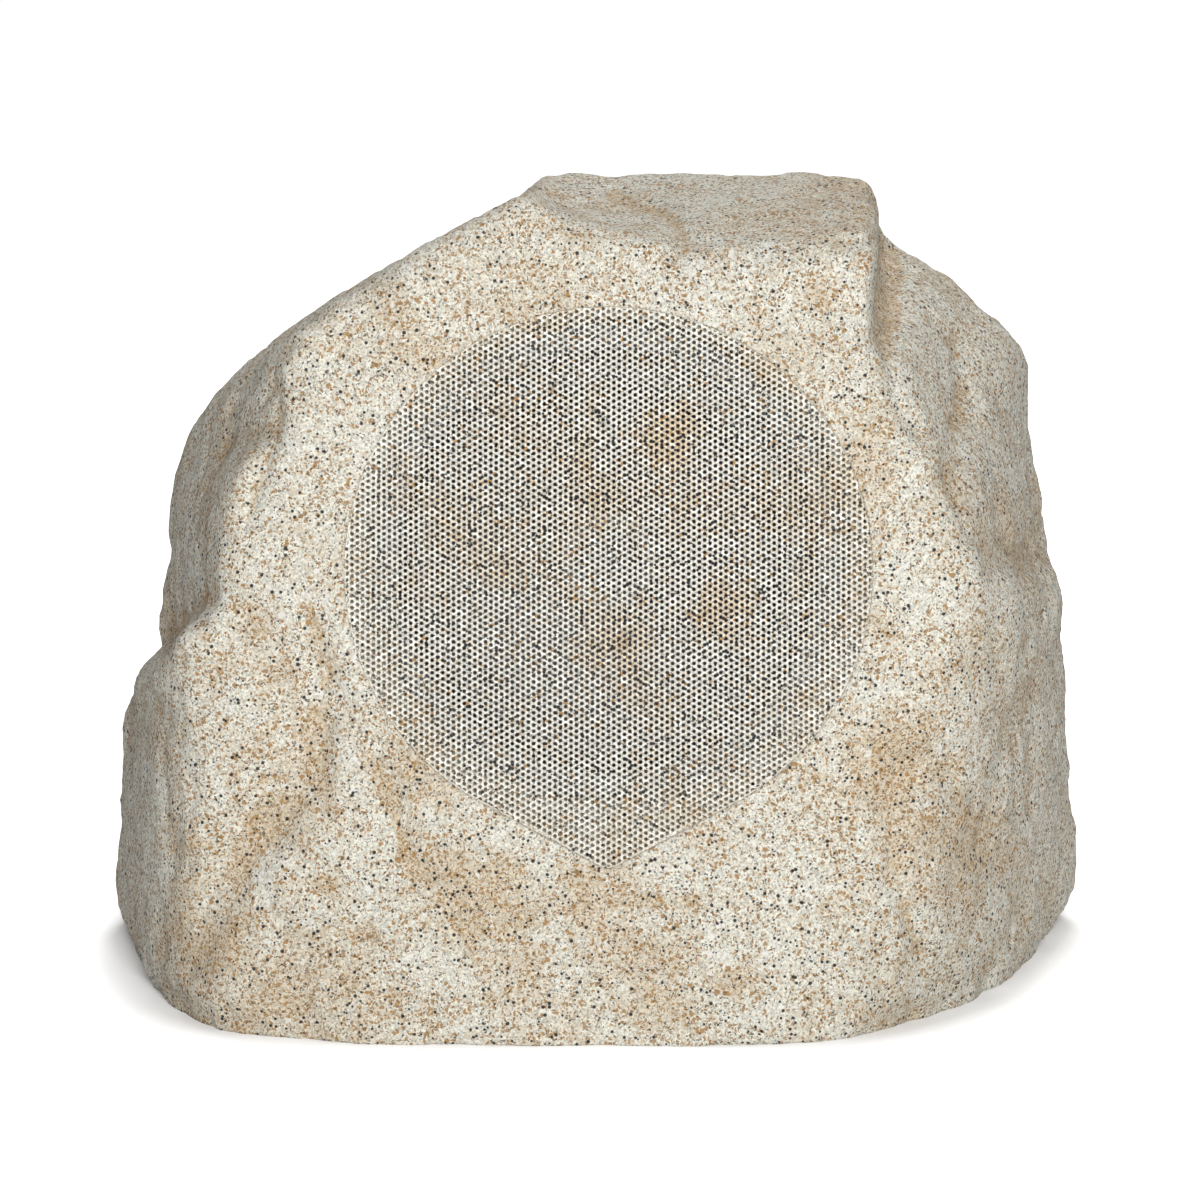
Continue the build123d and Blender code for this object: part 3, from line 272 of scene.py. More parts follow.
def speck_cells(tree, place, per_mm, seed):
    """Random cells: how far a point is from its cell's middle, and three random values for each cell."""
    shifted = vector_sum(tree, "ADD", place, (seed, -seed, 2*seed))
    cells = add(tree, "ShaderNodeTexVoronoi", {"Vector": shifted, "Scale": per_mm}, feature="F1").outputs
    return cells["Distance"], add(tree, "ShaderNodeSeparateColor", {"Color": cells["Color"]}).outputs


def speck_mask(tree, cells, size, share, from_top=False):
    """Specks of uneven size in the given share of the cells, counted from one end or the other."""
    distance, pick = cells
    rank = sum_up(tree, "SUBTRACT", 1.0, pick[0]) if from_top else pick[0]
    chosen = sum_up(tree, "LESS_THAN", rank, share)
    reach = sum_up(tree, "MULTIPLY_ADD", pick[1], size, 0.45*size)
    inner = sum_up(tree, "MULTIPLY", reach, 0.72)
    return sum_up(tree, "MULTIPLY", chosen, between(tree, distance, reach, inner))


def stone_paint():
    """Cream stone paint: washes of ochre, ochre painted shade in the hollows, tan and brown flecks, black
    and white specks.
    """
    group, given, out = new_group("stone_paint", [
        ("Pale", "Color", rgb(0.82, 0.795, 0.695)), ("Ochre And Shade", "Color", rgb(0.60, 0.44, 0.25)),
        ("Ochre And Shade Amount", "Float", 0.5), ("Fleck Amount", "Float", 0.5), ("Speck Amount", "Float", 0.5),
        ("Ochre And Hollow Shade", "Float", 0.0)])
    in_mm = scaled(group, given["Place"], 1/MM)
    wander = vector_sum(group, "SUBTRACT", noise(group, in_mm, 0.6, 2.0)["Color"], (0.5, 0.5, 0.5))
    bent = vector_sum(group, "ADD", in_mm, scaled(group, wander, 3.2))
    grain = noise(group, in_mm, 1.1, 4.0, 0.72)["Fac"]
    cloud = noise(group, in_mm, 0.022, 5.0, 0.6, 0.6)["Fac"]
    drift = noise(group, in_mm, 0.06, 4.0, 0.62, 0.8)["Fac"]

    # Ochre washes lie in soft clouds and in the stored spots; in the hollows the same ochre is painted
    # shade as well as paint
    in_ochre_and_hollow_shade = between(group, given["Ochre And Hollow Shade"], 0.0, 0.2)
    ragged = sum_up(group, "MULTIPLY_ADD", sum_up(group, "SUBTRACT", drift, 0.5), 1.2, given["Ochre And Hollow Shade"])
    ochre_and_hollow_shade_mask = sum_up(group, "MULTIPLY", between(group, ragged, 0.10, 0.85), in_ochre_and_hollow_shade)
    ochre_and_shade_share = sum_up(group, "MAXIMUM", between(group, cloud, 0.47, 0.68, 0.0, 0.75), ochre_and_hollow_shade_mask)
    ochre_and_shade = sum_up(group, "MULTIPLY", ochre_and_shade_share, given["Ochre And Shade Amount"], clamp=True)

    # Flecks gather where there is ochre, so also in the painted shade of the hollows, and specks where
    # there are few flecks
    flecked = between(group, drift, 0.36, 0.60, 0.24, 1.0)
    fleck_share = sum_up(group, "MULTIPLY_ADD", ochre_and_shade_share, 0.40, flecked)
    fleck_share = sum_up(group, "MULTIPLY", fleck_share, given["Fleck Amount"])
    specked = between(group, drift, 0.70, 0.34, 0.40, 0.85)
    speck_share = sum_up(group, "MULTIPLY", specked, given["Speck Amount"])

    broad, small = speck_cells(group, bent, 0.39, 11.0), speck_cells(group, bent, 0.82, 37.0)
    white = speck_mask(group, broad, 0.42, 0.40)
    soft = speck_mask(group, broad, 0.46, fleck_share, from_top=True)
    tan = speck_mask(group, speck_cells(group, bent, 0.64, 23.0), 0.40, fleck_share)
    brown = speck_mask(group, small, 0.36, sum_up(group, "MULTIPLY", fleck_share, 0.66))
    dust = speck_mask(group, small, 0.31, sum_up(group, "MULTIPLY", speck_share, 0.70), from_top=True)
    black = speck_mask(group, speck_cells(group, in_mm, 0.46, 53.0), 0.26, speck_share)
    colour = blend(group, ochre_and_shade, given["Pale"], given["Ochre And Shade"])
    colour = shaded(group, colour, between(group, grain, 0.28, 0.68, 0.50, 1.20))
    for mask, strength, paint in (
            (white, 0.65, rgb(0.90, 0.89, 0.84)), (soft, 0.34, rgb(0.54, 0.38, 0.19)),
            (tan, 0.92, rgb(0.40, 0.22, 0.065)), (brown, 0.85, rgb(0.22, 0.12, 0.04)),
            (dust, 0.85, rgb(0.05, 0.045, 0.04)), (black, 0.97, rgb(0.014, 0.014, 0.015))):
        colour = blend(group, sum_up(group, "MULTIPLY", mask, strength), colour, paint)
    return give(group, out, colour, between(group, grain, 0.2, 0.8, 0.72, 0.93), grain)


def fine_grain():
    """Moulded or painted surface: slow tone drift, a fine grain and a little dust."""
    group, given, out = new_group("fine_grain", [
        ("Tint", "Color", rgb(0.1, 0.1, 0.1)), ("Grain per mm", "Float", 2.0),
        ("Gloss Low", "Float", 0.45), ("Gloss High", "Float", 0.65), ("Dust Amount", "Float", 0.1)])
    in_mm = scaled(group, given["Place"], 1/MM)
    grain = noise(group, in_mm, given["Grain per mm"], 3.0, 0.6)["Fac"]
    drift = noise(group, in_mm, 0.06, 4.0)["Fac"]
    dusty = sum_up(group, "MULTIPLY", between(group, drift, 0.45, 0.75), given["Dust Amount"])
    colour = shaded(group, given["Tint"], between(group, grain, 0.25, 0.75, 0.82, 1.12))
    colour = blend(group, dusty, colour, rgb(0.42, 0.39, 0.34))
    mixed = sum_up(group, "MULTIPLY_ADD", drift, 0.5, sum_up(group, "MULTIPLY", grain, 0.5))
    roughness = between(group, mixed, 0.3, 0.7, given["Gloss Low"], given["Gloss High"])
    return give(group, out, colour, roughness, grain)


def worked_metal():
    """Bare or plated metal: fine tool lines along one direction and a dull bloom."""
    group, given, out = new_group("worked_metal", [
        ("Tint", "Color", rgb(0.6, 0.6, 0.6)), ("Lines per mm", "Float", 3.0),
        ("Bloom Amount", "Float", 0.25)])
    drawn_out = {"Vector": given["Place"], "Scale": (60, 1/MM, 1/MM)}
    stretched = add(group, "ShaderNodeMapping", drawn_out).outputs[0]
    lines = noise(group, stretched, given["Lines per mm"], 2.0, 0.6)["Fac"]
    cloud = noise(group, scaled(group, given["Place"], 1/MM), 0.18, 4.0)["Fac"]
    bloom = sum_up(group, "MULTIPLY", between(group, cloud, 0.45, 0.75), given["Bloom Amount"])
    colour = shaded(group, given["Tint"], between(group, lines, 0.25, 0.75, 0.85, 1.08))
    colour = blend(group, bloom, colour, rgb(0.30, 0.29, 0.27))
    roughness = sum_up(group, "ADD", between(group, lines, 0.2, 0.8, 0.22, 0.42), bloom, clamp=True)
    return give(group, out, colour, roughness, lines)


def woven_threads():
    """Cloth: two crossing rows of threads with loose fibres."""
    group, given, out = new_group("woven_threads", [
        ("Tint", "Color", rgb(0.3, 0.3, 0.3)), ("Threads per mm", "Float", 1.5)])
    in_mm = scaled(group, given["Place"], 1/MM)
    rows = {"Vector": in_mm, "Scale": given["Threads per mm"], "Distortion": 1.2, "Detail": 2.0}
    weft = add(group, "ShaderNodeTexWave", rows, bands_direction="X").outputs["Fac"]
    warp = add(group, "ShaderNodeTexWave", rows, bands_direction="Z").outputs["Fac"]
    threads = sum_up(group, "MAXIMUM", weft, warp)
    fibres = noise(group, in_mm, 3.0, 4.0, 0.7)["Fac"]
    raised = sum_up(group, "MULTIPLY_ADD", fibres, 0.4, sum_up(group, "MULTIPLY", threads, 0.6))
    colour = shaded(group, given["Tint"], between(group, raised, 0.2, 0.9, 0.62, 1.12))
    return give(group, out, colour, between(group, raised, 0.2, 0.9, 0.95, 0.80), raised)


def finish_with(group, name, values, bump_mm, metallic=0.0, ochre_and_hollow_shade=False):
    """A material whose colour, gloss and bump come from a shared group."""
    material = bpy.data.materials.new(name)
    material.use_nodes = True
    tree = material.node_tree
    principled = tree.nodes["Principled BSDF"]
    inputs = dict(values, Place=add(tree, "ShaderNodeTexCoord").outputs["Object"])
    # The stored ochre is paint in the given spots, and in the hollows painted shade as well as paint
    if ochre_and_hollow_shade:
        inputs["Ochre And Hollow Shade"] = add(tree, "ShaderNodeAttribute", attribute_name="ochre_and_hollow_shade").outputs["Fac"]
    made = add(tree, "ShaderNodeGroup", inputs, node_tree=group).outputs
    tree.links.new(made["Color"], principled.inputs["Base Color"])
    tree.links.new(made["Roughness"], principled.inputs["Roughness"])
    raised = {"Height": made["Height"], "Distance": bump_mm*MM, "Strength": 0.8}
    bump = add(tree, "ShaderNodeBump", raised)
    tree.links.new(bump.outputs["Normal"], principled.inputs["Normal"])
    principled.inputs["Metallic"].default_value = metallic
    return material


def make_materials():
    """One material for each slot of the record."""
    stone, moulded, metal, cloth = stone_paint(), fine_grain(), worked_metal(), woven_threads()
    on_rock = {"Ochre And Shade Amount": 0.55, "Fleck Amount": 1.0, "Speck Amount": 1.0}
    on_grille = {"Pale": rgb(0.70, 0.68, 0.605), "Ochre And Shade Amount": 0.60, "Fleck Amount": 0.30,
                 "Speck Amount": 1.1}
    made = {
        "rock": finish_with(stone, "rock_paint", on_rock, 1.1, ochre_and_hollow_shade=True),
        "grille_paint": finish_with(stone, "grille_paint", on_grille, 0.12, ochre_and_hollow_shade=True),
    }
    for slot, tint, per_mm, low, high, dust, bump in (
            ("foam", rgb(0.045, 0.045, 0.045), 1.2, 0.85, 0.98, 0.10, 0.30),
            ("basket_paint", rgb(0.035, 0.035, 0.037), 2.5, 0.38, 0.55, 0.06, 0.06),
            ("screw_black", rgb(0.045, 0.045, 0.047), 4.0, 0.30, 0.48, 0.04, 0.03),
            ("rubber", rgb(0.028, 0.028, 0.030), 2.0, 0.55, 0.75, 0.10, 0.05),
            ("cone", rgb(0.045, 0.045, 0.050), 1.8, 0.45, 0.65, 0.05, 0.08),
            ("ferrite", rgb(0.080, 0.080, 0.085), 3.0, 0.50, 0.72, 0.06, 0.04),
            ("black_plastic", rgb(0.032, 0.032, 0.034), 3.0, 0.42, 0.62, 0.12, 0.08),
            ("board_brown", rgb(0.28, 0.17, 0.08), 2.2, 0.48, 0.66, 0.06, 0.03),
            ("board_green", rgb(0.03, 0.20, 0.08), 1.0, 0.20, 0.34, 0.05, 0.02),
            ("base_plastic", rgb(0.22, 0.20, 0.175), 1.6, 0.55, 0.78, 0.30, 0.12),
            ("capacitor_film", rgb(0.62, 0.45, 0.09), 0.8, 0.18, 0.32, 0.04, 0.02),
            ("resistor_ceramic", rgb(0.76, 0.75, 0.70), 2.4, 0.60, 0.80, 0.08, 0.05),
            ("lead_red", rgb(0.46, 0.035, 0.028), 2.0, 0.40, 0.58, 0.05, 0.02),
            ("lead_black", rgb(0.035, 0.035, 0.037), 2.0, 0.40, 0.58, 0.05, 0.02)):
        values = {"Tint": tint, "Grain per mm": per_mm, "Gloss Low": low, "Gloss High": high,
                  "Dust Amount": dust}
        made[slot] = finish_with(moulded, slot, values, bump)
    for slot, tint, per_mm, bloom in (
            ("aluminium", rgb(0.78, 0.78, 0.80), 3.0, 0.15), ("copper", rgb(0.72, 0.36, 0.18), 4.0, 0.12),
            ("zinc_steel", rgb(0.60, 0.60, 0.58), 2.2, 0.30), ("brass", rgb(0.75, 0.58, 0.28), 3.5, 0.20),
            ("stainless", rgb(0.62, 0.62, 0.62), 3.2, 0.14)):
        values = {"Tint": tint, "Lines per mm": per_mm, "Bloom Amount": bloom}
        made[slot] = finish_with(metal, slot, values, 0.03, metallic=1.0)
    for slot, tint, per_mm, bump in (
            ("felt", rgb(0.07, 0.07, 0.07), 1.1, 0.25), ("spider_cloth", rgb(0.56, 0.42, 0.19), 1.6, 0.20),
            ("dome", rgb(0.05, 0.05, 0.06), 2.4, 0.06), ("wadding", rgb(0.82, 0.82, 0.80), 0.5, 1.20)):
        made[slot] = finish_with(cloth, slot, {"Tint": tint, "Threads per mm": per_mm}, bump)
    return made


# Meshes

def new_object(name, mesh):
    made = bpy.data.objects.new(name, mesh)
    bpy.context.scene.collection.objects.link(made)
    return made


def built(name, points, faces):
    mesh = bpy.data.meshes.new(name)
    mesh.from_pydata([tuple(point) for point in points], [], faces)
    return new_object(name, mesh)


def settle(obj, name):
    """A plain mesh of obj with its modifiers applied, in a new object. obj is removed."""
    view = bpy.context.evaluated_depsgraph_get()
    mesh = bpy.data.meshes.new_from_object(obj.evaluated_get(view))
    bpy.data.objects.remove(obj)
    return new_object(name, mesh)


def common_part(obj, other, name):
    """What obj and other share, as a new object. Both are removed."""
    cut = obj.modifiers.new("common", "BOOLEAN")
    cut.operation, cut.solver, cut.object = "INTERSECT", "MANIFOLD", other
    made = settle(obj, name)
    bpy.data.objects.remove(other)
    return made


def grille_edge(angle):
    """The sheet's reach from its centre; angle is measured from straight down."""
    lean = math.acos(GRILLE_RADIUS/GRILLE_TIP)
    away = abs((angle + math.pi) % (2*math.pi) - math.pi)
    if away >= lean:
        return GRILLE_RADIUS
    return min(GRILLE_RADIUS/math.cos(lean - away), GRILLE_TIP_ROUNDED)


def merged_copy(node, name):
    """A CAD node's mesh as a new object, with its loose triangles joined."""
    mesh = nodes[node].data.copy()
    work = bmesh.new()
    work.from_mesh(mesh)
    bmesh.ops.remove_doubles(work, verts=work.verts, dist=SHELL_JOIN)
    work.to_mesh(mesh)
    work.free()
    return new_object(name, mesh)


def bending_ring(node):
    """A soft ring cut into sectors round the driver's axis, each a new object."""
    centre = ROCK_CENTRE + OUTWARD*FRONT_REACH + UPWARD*DRIVER_RISE
    half = math.pi/RING_SECTORS
    for k in range(RING_SECTORS):
        piece = merged_copy(node, f"{node}_{k + 1:02d}")
        work = bmesh.new()
        work.from_mesh(piece.data)
        for side in (-1, 1):
            turn = (2*k + side)*half
            outwards = (UPWARD*math.cos(turn) - ACROSS*math.sin(turn))*side
            everything = work.verts[:] + work.edges[:] + work.faces[:]
            cut = bmesh.ops.bisect_plane(
                work, geom=everything, plane_co=centre, plane_no=outwards, clear_outer=True)["geom_cut"]
            rims = [item for item in cut if isinstance(item, bmesh.types.BMEdge)]
            bmesh.ops.edgeloop_fill(work, edges=rims)
        bmesh.ops.recalc_face_normals(work, faces=work.faces)
        work.to_mesh(piece.data)
        work.free()
        piece.data.shade_smooth()
        piece.data.set_sharp_from_angle(angle=RING_SHARP)
        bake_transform(piece)
        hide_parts(node)


def search_tree(obj):
    work = bmesh.new()
    work.from_mesh(obj.data)
    tree = BVHTree.FromBMesh(work)
    work.free()
    return tree


def filled_skin(tree):
    """A closed lump through the outside of the shell, with its recess and gland seat filled."""
    def heading(turn, rise):
        return Vector((math.cos(rise)*math.cos(turn), math.cos(rise)*math.sin(turn), math.sin(rise)))

    def skin_reach(way):
        """How far the shell's outside lies along way, or None where there is none."""
        place = tree.ray_cast(ROCK_CENTRE + way*SKIN_RAY_START, -way)[0]
        if place is None:
            return None
        reach = (place - ROCK_CENTRE).dot(way)
        return reach if reach > SKIN_NEAREST and place.z > FOOT_EDGE else None

    gland_ring = []
    for k in range(GLAND_RING_STEPS):
        turn = 2*math.pi*k/GLAND_RING_STEPS
        across, up = GLAND_RING*math.cos(turn), GLAND_RING*math.sin(turn)
        way = (Vector((across, GLAND_BACK, GLAND_HEIGHT + up)) - ROCK_CENTRE).normalized()
        gland_ring.append((way, skin_reach(way)))

    def reach_of(way):
        facing = way.dot(OUTWARD)
        if facing > FRONT_FACING:
            flat = way*(FRONT_REACH/facing)
            across, up = flat.x, flat.dot(UPWARD) - GRILLE_RISE
            if math.hypot(across, up) < grille_edge(math.atan2(across, -up)) + RECESS_GAP:
                return FRONT_REACH/facing
        if way.y > BACK_FACING:
            spot = ROCK_CENTRE + way*(GLAND_BACK/way.y)
            if math.hypot(spot.x, spot.z - GLAND_HEIGHT) < GLAND_FILL:
                weights = [1/max((way - other).length, 1e-4)**2 for other, _ in gland_ring]
                return sum(w*reach for w, (_, reach) in zip(weights, gland_ring))/sum(weights)
        return skin_reach(way)

    def foot_rise(turn):
        """The lowest rise at which the rock's side is met."""
        high, low = FOOT_HIGHEST, FOOT_LOWEST
        for _ in range(FOOT_TRIES):
            middle = (high + low)/2
            if skin_reach(heading(turn, middle)) is None:
                low = middle
            else:
                high = middle
        return high

    points, faces = [ROCK_CENTRE + Vector((0, 0, reach_of(Vector((0, 0, 1)))))], []
    for column in range(SKIN_COLUMNS):
        turn = 2*math.pi*column/SKIN_COLUMNS
        foot = foot_rise(turn)
        last = SKIN_FIRST
        for row in range(1, SKIN_ROWS + 1):
            way = heading(turn, math.pi/2 + (foot - math.pi/2)*row/SKIN_ROWS)
            last = reach_of(way) or last
            points.append(ROCK_CENTRE + way*last)
        points.append(Vector((points[-1].x, points[-1].y, -SKIN_BELOW_FLOOR)))
    points.append(Vector((ROCK_CENTRE.x, ROCK_CENTRE.y, -SKIN_BELOW_FLOOR)))
    rows = SKIN_ROWS + 1
    for column in range(SKIN_COLUMNS):
        here, there = 1 + column*rows, 1 + ((column + 1) % SKIN_COLUMNS)*rows
        faces.append((0, here, there))
        for row in range(rows - 1):
            faces.append((here + row, here + row + 1, there + row + 1, there + row))
        faces.append((here + rows - 1, len(points) - 1, there + rows - 1))
    return built("filled_skin", points, faces)


def new_tree(name, inputs):
    """A geometry nodes tree for a modifier, with named inputs."""
    tree = bpy.data.node_groups.new(name, "GeometryNodeTree")
    tree.is_modifier = True
    for socket, kind in [("Geometry", "Geometry")] + inputs + [("Paint", "Material")]:
        tree.interface.new_socket(socket, in_out="INPUT", socket_type="NodeSocket" + kind)
    tree.interface.new_socket("Geometry", in_out="OUTPUT", socket_type="NodeSocketGeometry")
    return tree, tree.nodes.new("NodeGroupInput").outputs


def paint_and_end(tree, geometry, paint):
    inputs = {"Geometry": geometry, "Material": paint}
    painted = add(tree, "GeometryNodeSetMaterial", inputs).outputs[0]
    tree.links.new(painted, tree.nodes.new("NodeGroupOutput").inputs[0])


def stored(tree, name):
    return add(tree, "GeometryNodeInputNamedAttribute", {"Name": name}, data_type="FLOAT").outputs[0]


def weathering_tree():
    """Geometry nodes that wear a skin inwards: chips, ripples, grain and the stored grooves. It stays calm
    round the axis that comes out of the front, and goes no deeper than the stored room in the wall."""
    axis = [("Axis Point", "Vector"), ("Axis Way", "Vector")]
    tree, given = new_tree("weathered_stone", [(name, "Float") for name in WEAR] + axis)
    place = add(tree, "GeometryNodeInputPosition").outputs[0]

    # The front stays calm as far as the grille's lip
    away = vector_sum(tree, "SUBTRACT", place, given["Axis Point"])
    off_axis = vector_sum(tree, "LENGTH", vector_sum(tree, "CROSS_PRODUCT", away, given["Axis Way"]))
    ahead = vector_sum(tree, "DOT_PRODUCT", away, given["Axis Way"])
    far = sum_up(tree, "ADD", given["Calm Reach"], given["Calm Fade"])
    rough = between(tree, off_axis, given["Calm Reach"], far, CALM_LEAST, 1.0)
    rough = sum_up(tree, "MAXIMUM", rough, between(tree, ahead, CALM_ENDS, CALM_GONE))

    depth = stored(tree, "groove")
    for kind, (detail, low, high) in WEAR_NOISE.items():
        scale = sum_up(tree, "DIVIDE", 1.0, given[kind + " Size"])
        worn = between(tree, noise(tree, place, scale, detail, WEAR_ROUGHNESS, WEAR_BEND)[0], low, high)
        if kind != "Grain":
            worn = sum_up(tree, "MULTIPLY", worn, rough)
        depth = sum_up(tree, "MULTIPLY_ADD", worn, given[kind + " Depth"], depth)
    depth = sum_up(tree, "MINIMUM", sum_up(tree, "ADD", depth, given["Margin"]), stored(tree, "room"))
    inward = sum_up(tree, "MULTIPLY", depth, -1.0)
    offset = scaled(tree, add(tree, "GeometryNodeInputNormal").outputs[0], inward)
    moving = {"Geometry": given["Geometry"], "Offset": offset}
    moved = add(tree, "GeometryNodeSetPosition", moving).outputs[0]
    whole = add(tree, "GeometryNodeRealizeInstances", {"Geometry": moved}).outputs[0]
    paint_and_end(tree, whole, given["Paint"])
    return tree


def set_inputs(modifier, tree, values):
    """Sets a geometry nodes modifier's inputs by their identifiers."""
    for item in tree.interface.items_tree:
        if item.in_out == "INPUT" and item.name in values:
            modifier[item.identifier] = values[item.name]


def read_points(mesh, field):
    values = np.empty(len(mesh.vertices)*3)
    mesh.vertices.foreach_get(field, values)
    return values.reshape(-1, 3)


def store(mesh, name, values):
    mesh.attributes.new(name, "FLOAT", "POINT").data.foreach_set("value", values)


def seen_from_front(mesh):
    """Each point across and up from the camera's target, as the camera sees it, and how far it faces
    the camera."""
    back = np.array((0, -math.cos(CAMERA_RISE), math.sin(CAMERA_RISE)))
    up = np.array((0, math.sin(CAMERA_RISE), math.cos(CAMERA_RISE)))
    away = read_points(mesh, "co") - np.array(CAMERA_TARGET)
    size = CAMERA_DISTANCE/(CAMERA_DISTANCE - away @ back)
    facing = np.clip((read_points(mesh, "normal") @ back)*FACING_GAIN, 0, 1)
    return away[:, 0]*size, (away @ up)*size, facing


def swell(mesh):
    """Moves the whole wall a little, outside and inside, where the rock's outline swells or dips."""
    across, up, _ = seen_from_front(mesh)
    place = read_points(mesh, "co")
    for x, y, radius, sideways, upwards in SWELLS:
        share = np.exp(-((across - x*MM)**2 + (up - y*MM)**2)/(radius*MM)**2)
        place += share[:, None]*np.array((sideways, 0, upwards))*MM
    mesh.vertices.foreach_set("co", place.ravel())
    mesh.update()


def mark_grooves(mesh):
    """Stores how deep the grooves cut at each point."""
    across, up, facing = seen_from_front(mesh)
    deepest = np.zeros(len(across))
    for half_width, depth, places in GROOVES.values():
        nearest = np.full(len(across), np.inf)
        for (x0, y0), (x1, y1) in zip(places, places[1:]):
            run = np.array((x1 - x0, y1 - y0))*MM
            along = ((across - x0*MM)*run[0] + (up - y0*MM)*run[1])/(run @ run)
            along = np.clip(along, 0, 1)
            gap = np.hypot(across - x0*MM - along*run[0], up - y0*MM - along*run[1])
            nearest = np.minimum(nearest, gap)
        profile = np.exp(-(nearest/(half_width*MM))**GROOVE_EDGE)
        deepest = np.maximum(deepest, depth*MM*profile)
    store(mesh, "groove", deepest*facing)


def mark_room(mesh, tree):
    """Stores how deep the wall may be worn at each point, so that a sound wall is left."""
    room = np.full(len(mesh.vertices), WEAR_DEEPEST)
    for k, vertex in enumerate(mesh.vertices):
        inward = -vertex.normal
        outside = tree.ray_cast(vertex.co - inward*WALL_RAY_START, inward, WALL_RAY)[0]
        if outside is None:
            continue
        inside = tree.ray_cast(outside + inward*WALL_RAY_STEP, inward, WALL_RAY)[0]
        if inside is not None:
            room[k] = np.clip((inside - vertex.co).dot(inward) - WALL_LEFT, 0, WEAR_DEEPEST)
    store(mesh, "room", room)


def mark_ochre_and_hollow_shade(mesh, washes):
    """Stores where ochre goes: in hollows, where it is painted shade as well as paint, and in the given
    places.
    """
    place, normal = read_points(mesh, "co"), read_points(mesh, "normal")
    count = len(place)
    ends = np.empty(len(mesh.edges)*2, int)
    mesh.edges.foreach_get("vertices", ends)
    ends = ends.reshape(-1, 2)
    first = np.concatenate((ends[:, 0], ends[:, 1]))
    second = np.concatenate((ends[:, 1], ends[:, 0]))
    links = np.maximum(np.bincount(first, minlength=count), 1)
    smooth = place.copy()
    for _ in range(CREASE_REACH):
        sums = [np.bincount(first, weights=smooth[second, axis], minlength=count) for axis in range(3)]
        smooth = np.stack(sums, axis=1)/links[:, None]
    # Hollows get the ochre as painted shade: the deeper below their smoothed neighbours, the more
    gathered = np.clip(((smooth - place)*normal).sum(axis=1)/CREASE_DEPTH, 0, 1)
    across, up, facing = seen_from_front(mesh)
    for x, y, radius, strength in washes:
        gap = np.hypot(across - x*MM, up - y*MM)/(radius*MM)
        gathered = np.maximum(gathered, strength*facing*np.exp(-gap**2))
    store(mesh, "ochre_and_hollow_shade", gathered)


def make_rock(paint):
    """The moulded rock: the CAD shell with a worn skin. Its recess, seats and bores stay exact."""
    shell = merged_copy("rock_shell", "shell_cut")
    shell.data.materials.clear()
    shell.data.materials.append(paint)
    swell(shell.data)
    tree = search_tree(shell)
    skin = filled_skin(tree)
    remesh = skin.modifiers.new("even", "REMESH")
    remesh.mode = "VOXEL"
    remesh.voxel_size = SKIN_VOXEL
    smooth = skin.modifiers.new("smooth", "SMOOTH")
    smooth.factor, smooth.iterations = SKIN_SMOOTHING, SKIN_SMOOTHINGS
    skin = settle(skin, "even_skin")
    mark_grooves(skin.data)
    mark_room(skin.data, tree)
    weather = weathering_tree()
    worn = skin.modifiers.new("weather", "NODES")
    worn.node_group = weather
    axis = {"Axis Point": ROCK_CENTRE + OUTWARD*FRONT_REACH, "Axis Way": OUTWARD}
    set_inputs(worn, weather, {**WEAR, **axis, "Paint": paint})
    rock = common_part(settle(skin, "worn_skin"), shell, "rock")
    rock.data.shade_smooth()
    rock.data.set_sharp_from_angle(angle=SKIN_SHARP)
    mark_ochre_and_hollow_shade(rock.data, ROCK_WASHES)
    return rock


